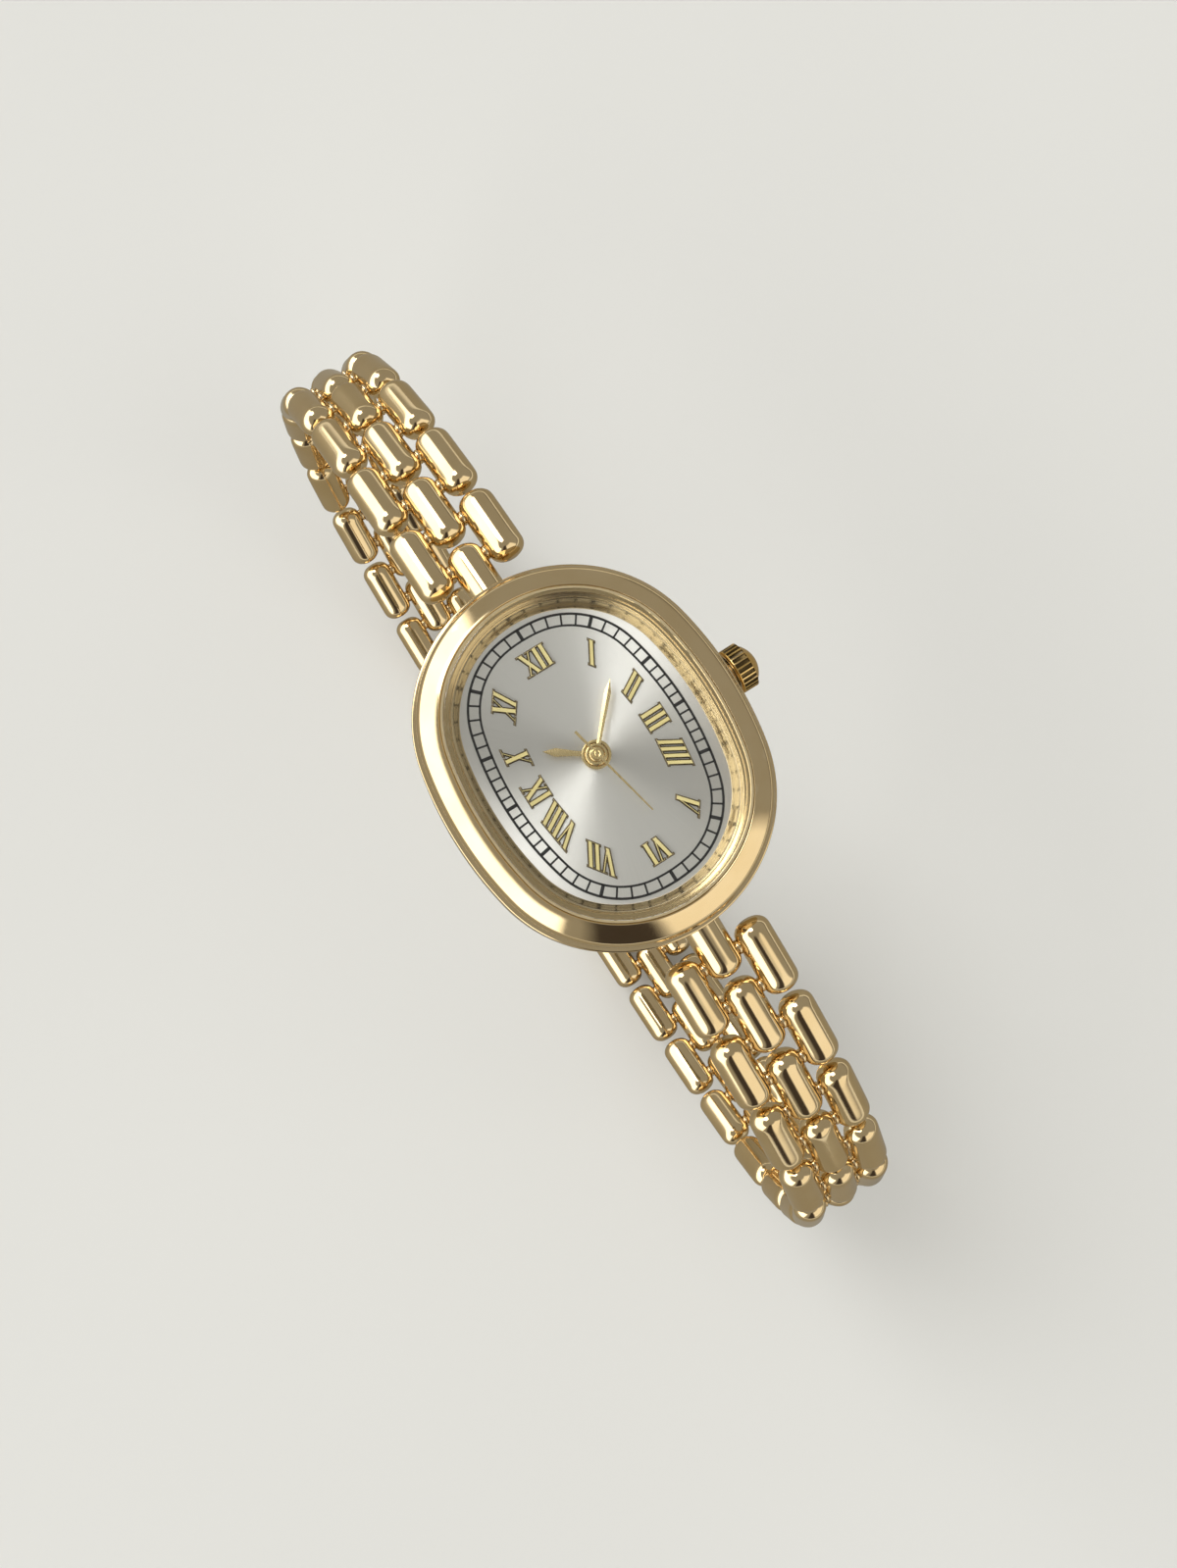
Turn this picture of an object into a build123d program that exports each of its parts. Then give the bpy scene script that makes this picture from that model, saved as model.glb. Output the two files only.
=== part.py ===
"""Oval bracelet watch with a quartz movement, closed and standing face up on its clasp.

Millimetres. +Z is up and out of the dial, +Y points to 12 o'clock and +X to 3 o'clock, where the
crown is. The origin lies on the flat face of the clasp, under the middle of the dial.
Heights named ..._level are measured from the top of the dial.
"""
from build123d import *
from math import acos, atan2, copysign, cos, degrees, dist, pi, radians, sin, sqrt, tan
import os

# Case outline, seen from above: an oval of tangent arcs
case_width = 20.3
case_length = 25.0
side_arc_radius = 23.7
shoulder_arc_radius = 9.4
end_arc_half_angle = 39.2

# Case middle, the band that everything else fits in
band_top_level = 0.25
band_height = 3.45
band_edge_radius = 0.5
case_wall = 2.2
fit_gap = 0.05
running_gap = 0.03
overrun = 1.0

# Bezel and its stepped inner wall
bezel_step = 0.3
bezel_height = 1.7
bezel_dome_width = 1.4
bezel_corner_radius = 0.67
bezel_outer_slope = 34
bezel_inner_slope = 18
bezel_lip = 0.1
rehaut_step = 0.2
rehaut_step_height = 0.25
rehaut_slope_width = 0.55
rehaut_foot_height = 0.15

# Crystal and its gasket
crystal_gasket_width = 0.14
crystal_gasket_height = 0.55
crystal_thickness = 0.65
crystal_chamfer = 0.15
crystal_seat_width = 0.2
crystal_headroom = 0.3

# Dial, its feet and the numerals
dial_thickness = 0.4
dial_play = 0.1
dial_foot_radius = 0.35
dial_foot_length = 0.7
dial_foot_side_inset = 1.8
dial_foot_end_inset = 3.0
numeral_thickness = 0.15
numeral_height = 1.5
numeral_ring_width = 8.7
numeral_ring_length = 13.9
numeral_ring_power = 2.6
bold_stroke = 0.3
thin_stroke = 0.13
serif_stroke = 0.08
stroke_pitch = 0.46
tangent_step = 1.0

# Hands, from the dial up
hand_thickness = 0.14
hand_gap = 0.16
hour_hand_lift = 0.4
hour_hand_reach = 3.3
hour_hand_width = 0.5
hour_hub_radius = 0.92
minute_hand_reach = 4.75
minute_hand_width = 0.4
minute_hub_radius = 0.66
second_hand_reach = 4.85
second_hand_tail = 1.9
second_hand_width = 0.16
second_tip_width = 0.1
second_hub_radius = 0.36
blade_root_share = 0.67
blade_widest_share = 0.67
hour_hand_clock_angle = 304.8
minute_hand_clock_angle = 42.5
second_hand_clock_angle = 167.5

# Movement plates, and the holder that fills the case round them
holder_side_width = 1.55
holder_end_width = 1.7
holder_corner_width = 0.2
holder_height = 2.3
movement_corner_radius = 3.0
plate_thickness = 0.95
motion_recess_depth = 0.65
recess_play = 0.2
bridge_thickness = 0.3
bridge_left = 3.8
bridge_right = 3.0
bridge_bottom = 1.7
bridge_top = 4.3
pillar_radius = 0.3
pillar_inset = 0.38
right_pillar_y = 1.08

# Train wheels: every tooth count, and the size of each pair's teeth
rotor_pinion_teeth = 8
fifth_wheel_teeth = 40
fifth_pinion_teeth = 8
second_wheel_teeth = 48
second_pinion_teeth = 8
third_wheel_teeth = 60
third_pinion_teeth = 8
centre_wheel_teeth = 64
cannon_pinion_teeth = 10
minute_wheel_teeth = 30
minute_pinion_teeth = 10
hour_wheel_teeth = 40
rotor_module = 0.058
fifth_module = 0.064
third_module = 0.052
hour_module = 0.08
tooth_addendum_share = 0.9
tooth_dedendum_share = 1.2
tooth_root_share = 0.2
tooth_tip_share = 0.09
wheel_thickness = 0.12
wheel_gap = 0.1
second_arbor_radius = 0.1
train_arbor_radius = 0.08
centre_pipe_wall = 0.09
cannon_pipe_wall = 0.13
hour_pipe_wall = 0.19
pivot_depth = 0.15
minute_post_radius = 0.15
fifth_wheel_angle = 75.0
rotor_angle = 80.0

# Step motor, circuit and battery
rotor_magnet_radius = 0.55
rotor_magnet_height = 0.4
rotor_air_gap = 0.17
stator_thickness = 0.4
stator_bar_width = 2.0
stator_left = 3.3
stator_right = 3.9
stator_leg_width = 1.0
coil_core_width = 1.0
coil_core_offset = 2.3
coil_radius = 0.65
battery_radius = 2.9
battery_thickness = 2.15
battery_cap_radius = 2.3
battery_cap_height = 0.3
battery_edge_radius = 0.12
battery_clearance = 0.25
clamp_thickness = 0.1
clamp_width = 2.4
board_thickness = 0.2
board_start = 4.4
board_gap = 0.15
board_inset = 0.8
quartz_can_radius = 0.6
quartz_can_length = 4.2
quartz_can_gap = 0.35

# Case back
back_inset = 0.8
back_flange_height = 1.1
back_wall = 0.55
back_edge = 0.5
back_skirt_width = 0.7
back_skirt_height = 0.45
back_gasket_inset = 1.3
back_gasket_width = 0.45
back_gasket_height = 0.35

# Crown, stem and clutch
crown_radius = 1.55
crown_barrel_length = 1.1
crown_dome_rise = 0.7
crown_dome_inset = 0.15
crown_cap_wall = 0.5
crown_gap = 0.3
crown_flutes = 26
crown_flute_radius = 0.12
crown_level = -1.5
crown_travel = 0.9
crown_tube_radius = 0.85
crown_tube_wall = 0.35
crown_tube_reach = 0.7
crown_gasket_width = 0.25
crown_gasket_length = 0.3
stem_radius = 0.3
stem_square = 0.4
stem_square_length = 2.5
stem_tip_reach = 0.6
clutch_play = 0.41
clutch_length = 0.9
clutch_teeth = 14
clutch_module = 0.1
stem_boss_length = 1.2
stem_boss_width = 1.8
stem_boss_drop = 0.75

# Bracelet links: three columns, each set half a pitch from the next
row_pitch = 5.694
rows_per_side = 12
link_width = 2.45
link_thickness = 2.2
link_end_gap = 0.42
link_end_radius = 0.9
link_edge_radius = 0.8
column_gap = 0.15
pin_radius = 0.35
pin_bite = 1.65

# Bracelet loop: the line through the pins, seen from the side
stub_pin_reach = 2.3
stub_pin_drop = 1.37
loop_height_share = 0.596
loop_power = 2.5

# Clasp: two plates that meet end to end
clasp_half_length = 9.6
clasp_split_y = -3.0
clasp_face_gap = 0.12
clasp_edge_radius = 0.35
clasp_lug_room = 0.2
magnet_radius = 0.7
magnet_length = 2.0
magnet_spacing = 3.4

# Limits and step counts of the searches for the loop
smallest_loop_share = 0.35
largest_loop_share = 0.8
search_steps = 48
search_window = 0.7

movement_width = case_width - 2 * (case_wall + holder_side_width)
movement_length = case_length - 2 * (case_wall + holder_end_width)
dial_foot_x = movement_width / 2 - dial_foot_side_inset
dial_foot_y = movement_length / 2 - dial_foot_end_inset

stub_pin_y = case_length / 2 + stub_pin_reach
half_pitch = row_pitch / 2
link_length = row_pitch - link_end_gap
column_pitch = link_width + column_gap
bracelet_width = 2 * column_pitch + link_width
pin_half_length = link_width / 2 + column_gap + pin_bite

rehaut_foot_inset = case_wall + rehaut_step + rehaut_slope_width
crystal_seat_inset = bezel_step + bezel_dome_width + bezel_lip
crystal_inset = crystal_seat_inset + crystal_gasket_width
crystal_ledge_inset = crystal_inset + crystal_seat_width
hour_hand_level = hour_hand_lift
minute_hand_level = hour_hand_level + hand_thickness + hand_gap
second_hand_level = minute_hand_level + hand_thickness + hand_gap
crystal_level = second_hand_level + hand_thickness + crystal_headroom
crystal_top_level = crystal_level + crystal_thickness

band_bottom_level = band_top_level - band_height
plate_top_level = -dial_thickness
plate_bottom_level = plate_top_level - plate_thickness
motion_floor_level = plate_top_level - motion_recess_depth
level_pitch = wheel_thickness + wheel_gap
centre_wheel_level = plate_bottom_level - level_pitch
third_wheel_level = centre_wheel_level - level_pitch
second_wheel_level = third_wheel_level - level_pitch
fifth_wheel_level = second_wheel_level - level_pitch
bridge_level = fifth_wheel_level - wheel_gap - bridge_thickness

# The minute wheel and the hour wheel share one pair of centres, and so do the third and centre wheels
minute_wheel_distance = hour_module * (minute_pinion_teeth + hour_wheel_teeth) / 2
cannon_module = 2 * minute_wheel_distance / (cannon_pinion_teeth + minute_wheel_teeth)
third_wheel_distance = third_module * (second_pinion_teeth + third_wheel_teeth) / 2
centre_module = 2 * third_wheel_distance / (third_pinion_teeth + centre_wheel_teeth)
fifth_wheel_distance = fifth_module * (fifth_pinion_teeth + second_wheel_teeth) / 2
rotor_distance = rotor_module * (rotor_pinion_teeth + fifth_wheel_teeth) / 2

centre_pipe_bore = second_arbor_radius + running_gap
centre_pipe_radius = centre_pipe_bore + centre_pipe_wall
cannon_pipe_bore = centre_pipe_radius + running_gap
cannon_pipe_radius = cannon_pipe_bore + cannon_pipe_wall
hour_pipe_bore = cannon_pipe_radius + running_gap
hour_pipe_radius = hour_pipe_bore + hour_pipe_wall


def polar(distance, angle):
    """Point at a distance from the centre, at an angle from +X in degrees."""
    return (distance * cos(radians(angle)), distance * sin(radians(angle)))


third_wheel_place = polar(third_wheel_distance, 180)
minute_wheel_place = polar(minute_wheel_distance, 0)
fifth_wheel_place = polar(fifth_wheel_distance, fifth_wheel_angle)
rotor_offset = polar(rotor_distance, rotor_angle)
rotor_place = (fifth_wheel_place[0] + rotor_offset[0], fifth_wheel_place[1] + rotor_offset[1])
centre_wheel_tip = centre_module * (centre_wheel_teeth / 2 + tooth_addendum_share)
minute_wheel_tip = cannon_module * (minute_wheel_teeth / 2 + tooth_addendum_share)
clutch_x = minute_wheel_place[0] + minute_wheel_tip + clutch_play
stem_tip_x = clutch_x - stem_tip_reach
battery_y = -(centre_wheel_tip + battery_clearance + battery_radius)
coil_y = rotor_place[1] + coil_core_offset
coil_level = plate_bottom_level - wheel_gap - stator_thickness - stator_thickness / 2
quartz_can_y = coil_y + coil_radius + quartz_can_gap + quartz_can_radius
clamp_reach = battery_radius + battery_clearance + clamp_thickness


def end_arc_growth():
    """How much larger the end arc is than the shoulder arc, so that all three arcs meet smoothly."""
    # the shoulder's centre moves along this run as the end arc grows
    run = (sin(radians(end_arc_half_angle)), cos(radians(end_arc_half_angle)) - 1)
    start = (side_arc_radius - case_width / 2, case_length / 2 - shoulder_arc_radius)
    reach = side_arc_radius - shoulder_arc_radius
    square = run[0] ** 2 + run[1] ** 2
    along = start[0] * run[0] + start[1] * run[1]
    excess = start[0] ** 2 + start[1] ** 2 - reach**2
    return (sqrt(along**2 - square * excess) - along) / square


def oval_outline(inset):
    """Closed wire of the case oval, drawn a distance inside it, starting at 3 o'clock."""
    end_arc_radius = shoulder_arc_radius + end_arc_growth()
    side_centre = (case_width / 2 - side_arc_radius, 0)
    end_centre = (0, case_length / 2 - end_arc_radius)
    second = radians(90 - end_arc_half_angle)
    shoulder_centre = (end_arc_growth() * cos(second), end_centre[1] + end_arc_growth() * sin(second))
    first = atan2(shoulder_centre[1] - side_centre[1], shoulder_centre[0] - side_centre[0])

    def on_arc(centre, radius, angle):
        reach = radius - inset
        return (centre[0] + reach * cos(angle), centre[1] + reach * sin(angle))

    side_tip = on_arc(side_centre, side_arc_radius, 0)
    side_middle = on_arc(side_centre, side_arc_radius, first / 2)
    side_joint = on_arc(side_centre, side_arc_radius, first)
    shoulder_middle = on_arc(shoulder_centre, shoulder_arc_radius, (first + second) / 2)
    end_joint = on_arc(end_centre, end_arc_radius, second)
    end_tip = on_arc(end_centre, end_arc_radius, pi / 2)

    def flip(point, x_sign, y_sign):
        return (point[0] * x_sign, point[1] * y_sign)

    stations = [
        (side_tip, side_middle, side_joint),
        (side_joint, shoulder_middle, end_joint),
        (end_joint, end_tip, flip(end_joint, -1, 1)),
        (flip(end_joint, -1, 1), flip(shoulder_middle, -1, 1), flip(side_joint, -1, 1)),
        (flip(side_joint, -1, 1), flip(side_tip, -1, 1), flip(side_joint, -1, -1)),
        (flip(side_joint, -1, -1), flip(shoulder_middle, -1, -1), flip(end_joint, -1, -1)),
        (flip(end_joint, -1, -1), flip(end_tip, 1, -1), flip(end_joint, 1, -1)),
        (flip(end_joint, 1, -1), flip(shoulder_middle, 1, -1), flip(side_joint, 1, -1)),
        (flip(side_joint, 1, -1), flip(side_middle, 1, -1), side_tip),
    ]
    return Wire([ThreePointArc(*station).edge() for station in stations])


def oval_disc(inset, low, high):
    """Oval plate between two levels."""
    return extrude(Pos(0, 0, low) * Face(oval_outline(inset)), amount=high - low)


def oval_ring(outer_inset, inner_inset, low, high):
    """Oval ring of square section between two levels."""
    return oval_disc(outer_inset, low, high) - oval_disc(inner_inset, low, high)


def movement_disc(shrink, low, high):
    """Plate of the movement's outline between two levels; the case wall may trim its corners."""
    outline = RectangleRounded(
        movement_width - 2 * shrink,
        movement_length - 2 * shrink,
        movement_corner_radius - shrink,
    )
    plate = extrude(Pos(0, 0, low) * outline, amount=high - low)
    return plate & oval_disc(case_wall + holder_corner_width + shrink, low, high)


def post(place, radius, low, high):
    """Upright cylinder between two levels."""
    return Pos(place[0], place[1], low) * extrude(Circle(radius), amount=high - low)


def block(low_corner, high_corner):
    """Box between two corners."""
    size = [high - low for low, high in zip(low_corner, high_corner)]
    return Pos(*low_corner) * Box(*size, align=(Align.MIN, Align.MIN, Align.MIN))


def toothed_wheel(teeth, module, tooth_angle, low, high):
    """Wheel with narrow, tapered teeth; one tooth points along tooth_angle."""
    step = 2 * pi / teeth
    root = module * (teeth / 2 - tooth_dedendum_share)
    tip = module * (teeth / 2 + tooth_addendum_share)
    corners = []
    for index in range(teeth):
        middle = radians(tooth_angle) + index * step
        for radius, turn_share in (
            (root, -tooth_root_share),
            (tip, -tooth_tip_share),
            (tip, tooth_tip_share),
            (root, tooth_root_share),
        ):
            angle = middle + turn_share * step
            corners.append((radius * cos(angle), radius * sin(angle)))
    outline = make_face(Polyline(*corners, close=True))
    return extrude(Pos(0, 0, low) * outline, amount=high - low)


def facing_gap(teeth, angle_to_partner):
    """Tooth angle that puts a gap, not a tooth, towards the partner."""
    return angle_to_partner + degrees(pi / teeth)


def loop_point(half_width, turn):
    """Point (y, z) on the line of pins; turn is 90 degrees at the top and -90 at the clasp."""
    half_height = half_width * loop_height_share
    y = half_width * copysign(abs(cos(turn)) ** (2 / loop_power), cos(turn))
    rise = copysign(abs(sin(turn)) ** (2 / loop_power), sin(turn))
    return (y, link_thickness / 2 + half_height * (1 + rise))


def next_turn(half_width, turn):
    """Turn of the pin half a pitch further down the loop."""
    start = loop_point(half_width, turn)
    far, near = turn - search_window, turn
    for _ in range(search_steps):
        middle = (far + near) / 2
        if dist(start, loop_point(half_width, middle)) > half_pitch:
            far = middle
        else:
            near = middle
    return (far + near) / 2


def loop_pins(half_width):
    """Pins of the 12 o'clock side, from the case stub to one past the clasp's hinge."""
    turn = acos((stub_pin_y / half_width) ** (loop_power / 2))
    pins = [loop_point(half_width, turn)]
    for _ in range(2 * rows_per_side + 1):
        turn = next_turn(half_width, turn)
        pins.append(loop_point(half_width, turn))
    return pins


def closed_half_width():
    """Half width of the loop that the rows fill when the clasp is closed."""
    chain = row_pitch * rows_per_side
    small, large = chain * smallest_loop_share, chain * largest_loop_share
    for _ in range(search_steps):
        middle = (small + large) / 2
        if loop_pins(middle)[2 * rows_per_side][0] > clasp_half_length:
            large = middle
        else:
            small = middle
    return (small + large) / 2


loop_half_width = closed_half_width()
pins = loop_pins(loop_half_width)
loop_top = loop_point(loop_half_width, pi / 2)[1]
stub_slope = -loop_height_share * (pins[0][0] / loop_half_width) ** (loop_power - 1)
stub_rise = (pins[0][1] - link_thickness / 2) / (loop_half_width * loop_height_share) - 1
stub_slope /= stub_rise ** (loop_power - 1)
stub_angle = degrees(atan2(stub_slope, 1))
dial_height = pins[0][1] + stub_pin_drop
at_head = Pos(0, 0, dial_height)


def link_angle(index):
    """Slope in degrees of the link between pin index - 1 and pin index."""
    start, end = pins[index - 1], pins[index]
    return degrees(atan2(end[1] - start[1], end[0] - start[0]))


def link_bar():
    """Link body without holes: a pillow with round ends and full, soft edges, along Y."""
    side_profile = RectangleRounded(link_length, link_thickness, link_end_radius)
    bar = extrude(Plane.YZ * side_profile, amount=link_width / 2, both=True)
    sides = bar.faces().sort_by(Axis.X)
    return fillet(sides[0].edges() + sides[-1].edges(), link_edge_radius)


def pin_bar(radius, half_length, y):
    """Cylinder across the bracelet."""
    return Pos(0, y, 0) * Rot(0, 90, 0) * Cylinder(radius, 2 * half_length)


def middle_link():
    """Link of the middle column, which turns on both its pins."""
    bore = pin_radius + running_gap
    link = link_bar()
    for y in (-half_pitch / 2, half_pitch / 2):
        link -= pin_bar(bore, link_width, y)
    return link


def outer_links():
    """Pair of outer links, with blind holes that hold the pins' ends."""
    pair = []
    for side in (-1, 1):
        link = Pos(side * column_pitch, 0, 0) * link_bar()
        for y in (-half_pitch / 2, half_pitch / 2):
            link -= pin_bar(pin_radius + running_gap, pin_half_length + running_gap, y)
        pair.append(link)
    return pair


middle_shape = middle_link()
outer_shapes = outer_links()
pin_shape = pin_bar(pin_radius, pin_half_length, 0)


def on_loop(index, shape):
    """Shape set on the link between pin index - 1 and pin index."""
    start, end = pins[index - 1], pins[index]
    centre = Pos(0, (start[0] + end[0]) / 2, (start[1] + end[1]) / 2)
    return centre * Rot(link_angle(index), 0, 0) * shape


def link_row(row):
    """One row: two outer links, the middle link beyond them and the pins at their ends."""
    outer = 2 * row - 1
    pieces = [on_loop(outer, link) for link in outer_shapes]
    pieces.append(on_loop(outer + 1, middle_shape))
    for index in (outer - 1, outer):
        pieces.append(Pos(0, pins[index][0], pins[index][1]) * pin_shape)
    return pieces


def clasp_half(inner_y):
    """Clasp plate from inner_y to its hinge lugs, the hinge pin, and the magnets in its end."""
    lug_index = 2 * rows_per_side + 1
    lugs = [on_loop(lug_index, link) for link in outer_shapes]
    lug_centre = (pins[lug_index - 1][0] + pins[lug_index][0]) / 2
    plate = block((-bracelet_width / 2, inner_y, 0), (bracelet_width / 2, lug_centre, link_thickness))
    plate = fillet(plate.edges().filter_by(Axis.Y), clasp_edge_radius)
    hinge = pins[lug_index - 1]
    room = link_length / 2 - half_pitch / 2 + clasp_lug_room
    notch_half_width = link_width / 2 + column_gap
    notch = block(
        (-notch_half_width, hinge[0] - room, -overrun),
        (notch_half_width, hinge[0] + link_length, link_thickness + overrun),
    )
    body = plate + lugs[0] + lugs[1] - notch
    magnets = []
    for x in (-magnet_spacing / 2, magnet_spacing / 2):
        seat = Pos(x, inner_y, link_thickness / 2) * Rot(-90, 0, 0)
        pocket = Cylinder(magnet_radius + running_gap, 2 * (magnet_length + running_gap))
        body -= seat * pocket
        magnets.append(seat * Pos(0, 0, magnet_length / 2) * Cylinder(magnet_radius, magnet_length))
    return [body, Pos(0, hinge[0], hinge[1]) * pin_shape], magnets


def case_stub():
    """Middle link fixed to the case, with a hole for the first hinge pin."""
    stub = link_bar() - pin_bar(pin_radius + running_gap, link_width, half_pitch / 2)
    centre_y = pins[0][0] - half_pitch / 2 * cos(radians(stub_angle))
    centre_z = pins[0][1] - half_pitch / 2 * sin(radians(stub_angle)) - dial_height
    return Pos(0, centre_y, centre_z) * Rot(stub_angle, 0, 0) * stub


def along_x(radius, start, end):
    """Cylinder along X at the height of the stem, from start to end."""
    middle = Pos((start + end) / 2, 0, crown_level)
    return middle * Rot(0, 90, 0) * Cylinder(radius, end - start)


def case_middle():
    """Band with the two bracelet stubs, open through the middle."""
    band = oval_disc(0, band_bottom_level, band_top_level)
    band = fillet(band.faces().sort_by(Axis.Z)[0].edges(), band_edge_radius)
    stub = case_stub()
    body = band + stub + Rot(0, 0, 180) * stub
    body -= oval_disc(case_wall, band_bottom_level - overrun, band_top_level + overrun)
    groove_inner = back_gasket_inset + back_gasket_width
    groove_top = band_bottom_level + back_gasket_height + fit_gap
    body -= oval_ring(back_gasket_inset, groove_inner, band_bottom_level - overrun, groove_top)
    return body - along_x(crown_tube_radius, 0, case_width)


def bezel():
    """Domed ring that holds the crystal, with a stepped wall down to the dial."""
    corner_turn = radians(90 - bezel_outer_slope)
    arc_inset = bezel_step + bezel_corner_radius * (1 - cos(corner_turn))
    arc_width = bezel_step + bezel_dome_width - arc_inset
    mean_slope = radians((bezel_outer_slope + bezel_inner_slope) / 2)
    arc_bulge = arc_width / cos(mean_slope) / 2 * tan(radians(bezel_outer_slope - bezel_inner_slope) / 4)
    dome_top = band_top_level + bezel_height
    arc_foot = dome_top - arc_width * tan(mean_slope)
    dome_foot = arc_foot - bezel_corner_radius * sin(corner_turn)
    step_inset = crystal_ledge_inset + rehaut_step
    step_level = crystal_level - rehaut_step_height

    def spot(inset, level):
        return (case_width / 2 - inset, level)

    outline = [
        Line(spot(bezel_step, band_top_level), spot(bezel_step, dome_foot)),
        ThreePointArc(
            spot(bezel_step, dome_foot),
            spot(
                bezel_step + bezel_corner_radius * (1 - cos(corner_turn / 2)),
                dome_foot + bezel_corner_radius * sin(corner_turn / 2),
            ),
            spot(arc_inset, arc_foot),
        ),
        ThreePointArc(
            spot(arc_inset, arc_foot),
            spot(
                arc_inset + arc_width / 2 - arc_bulge * sin(mean_slope),
                (arc_foot + dome_top) / 2 + arc_bulge * cos(mean_slope),
            ),
            spot(bezel_step + bezel_dome_width, dome_top),
        ),
        Polyline(
            spot(bezel_step + bezel_dome_width, dome_top),
            spot(crystal_seat_inset, dome_top - bezel_lip),
            spot(crystal_seat_inset, crystal_level),
            spot(crystal_ledge_inset, crystal_level),
            spot(crystal_ledge_inset, step_level),
            spot(step_inset, step_level),
            spot(step_inset, step_level - rehaut_step / 2),
            spot(rehaut_foot_inset, rehaut_foot_height),
            spot(rehaut_foot_inset, 0),
            spot(case_wall + fit_gap, 0),
            spot(case_wall + fit_gap, band_top_level),
            spot(bezel_step, band_top_level),
        ),
    ]
    profile = Plane.XZ * make_face(outline)
    return sweep(profile, path=oval_outline(0))


def crystal():
    """Flat glass with a bevelled top edge."""
    glass = oval_disc(crystal_inset, crystal_level, crystal_top_level)
    return chamfer(glass.faces().sort_by(Axis.Z)[-1].edges(), crystal_chamfer)


def crystal_gasket():
    """Thin ring between the crystal and the bezel."""
    top = crystal_level + crystal_gasket_height
    return oval_ring(crystal_seat_inset, crystal_inset, crystal_level, top)


def case_back():
    """Snap-on back with a shallow pocket and a skirt that fits the case."""
    outer_level = band_bottom_level - back_flange_height
    back = oval_disc(back_inset, outer_level, band_bottom_level)
    back = chamfer(back.faces().sort_by(Axis.Z)[0].edges(), back_edge)
    skirt_outer = case_wall + fit_gap
    skirt_inner = skirt_outer + back_skirt_width
    back -= oval_disc(skirt_inner, outer_level + back_wall, band_bottom_level + overrun)
    skirt_top = band_bottom_level + back_skirt_height
    return back + oval_ring(skirt_outer, skirt_inner, band_bottom_level, skirt_top)


def back_gasket():
    """Sealing ring in the groove of the case middle."""
    outer = back_gasket_inset + fit_gap
    inner = back_gasket_inset + back_gasket_width - fit_gap
    return oval_ring(outer, inner, band_bottom_level, band_bottom_level + back_gasket_height)


def dial_foot_places():
    """The dial's two feet, on opposite corners."""
    return [(-dial_foot_x, dial_foot_y), (dial_foot_x, -dial_foot_y)]


def dial():
    """Thin plate with a hole for the hands and two feet."""
    plate = oval_disc(case_wall + dial_play, -dial_thickness, 0)
    plate -= post((0, 0), hour_pipe_radius + fit_gap, -dial_thickness - overrun, overrun)
    for place in dial_foot_places():
        plate += post(place, dial_foot_radius, -dial_thickness - dial_foot_length, -dial_thickness)
    return plate


def stroke(start, end, width):
    """Flat bar of a numeral from start to end, as its four corners; width is across the reading line."""
    half = width / 2
    return [
        (start[0] - half, start[1]),
        (start[0] + half, start[1]),
        (end[0] + half, end[1]),
        (end[0] - half, end[1]),
    ]


def numeral_strokes(letters):
    """Corner lists of a numeral's strokes, centred on the origin, with its foot towards -Y."""
    foot, top = -numeral_height / 2, numeral_height / 2
    widths = {"I": stroke_pitch, "V": 2 * stroke_pitch, "X": 2 * stroke_pitch}
    total = sum(widths[letter] for letter in letters)
    left = -total / 2
    strokes = []
    for letter in letters:
        middle = left + widths[letter] / 2
        spread = widths[letter] / 2 - bold_stroke / 2
        if letter == "I":
            strokes.append(stroke((middle, foot), (middle, top), bold_stroke))
            serifs = [middle]
        elif letter == "V":
            strokes.append(stroke((middle, foot), (middle - spread, top), bold_stroke))
            strokes.append(stroke((middle, foot), (middle + spread, top), thin_stroke))
            serifs = [middle - spread, middle + spread]
        else:
            strokes.append(stroke((middle + spread, foot), (middle - spread, top), bold_stroke))
            strokes.append(stroke((middle - spread, foot), (middle + spread, top), thin_stroke))
            serifs = [middle - spread, middle + spread]
        serif_half = stroke_pitch / 2
        for centre in serifs:
            levels = (top,) if letter == "V" else (foot + serif_stroke, top)
            for level in levels:
                strokes.append(
                    stroke((centre, level - serif_stroke), (centre, level), 2 * serif_half)
                )
        left += widths[letter]
    return strokes


def ring_distance(angle):
    """Distance from the dial's centre to the numerals' oval, at an angle from 12 o'clock."""
    across = abs(sin(angle)) / (numeral_ring_width / 2)
    along = abs(cos(angle)) / (numeral_ring_length / 2)
    return (across**numeral_ring_power + along**numeral_ring_power) ** (-1 / numeral_ring_power)


def ring_place(angle):
    """Point of the numerals' oval, at an angle from 12 o'clock."""
    return (ring_distance(angle) * sin(angle), ring_distance(angle) * cos(angle))


def numeral(hour, letters):
    """Applied numeral whose strokes point at the centre and whose foot follows the oval."""
    angle = radians(360 * hour / 12)
    small_turn = radians(tangent_step)
    centre = ring_place(angle)
    before, after = ring_place(angle - small_turn), ring_place(angle + small_turn)
    length = dist(before, after)
    tangent = ((after[0] - before[0]) / length, (after[1] - before[1]) / length)
    ray = (sin(angle), cos(angle))
    upright = abs(tangent[0] * ray[1] - tangent[1] * ray[0])
    pieces = None
    for corners in numeral_strokes(letters):
        placed = [
            (
                centre[0] + x * tangent[0] + y / upright * ray[0],
                centre[1] + x * tangent[1] + y / upright * ray[1],
            )
            for x, y in corners
        ]
        bar = extrude(make_face(Polyline(*placed, close=True)), amount=numeral_thickness)
        pieces = bar if pieces is None else pieces + bar
    return pieces


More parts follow.
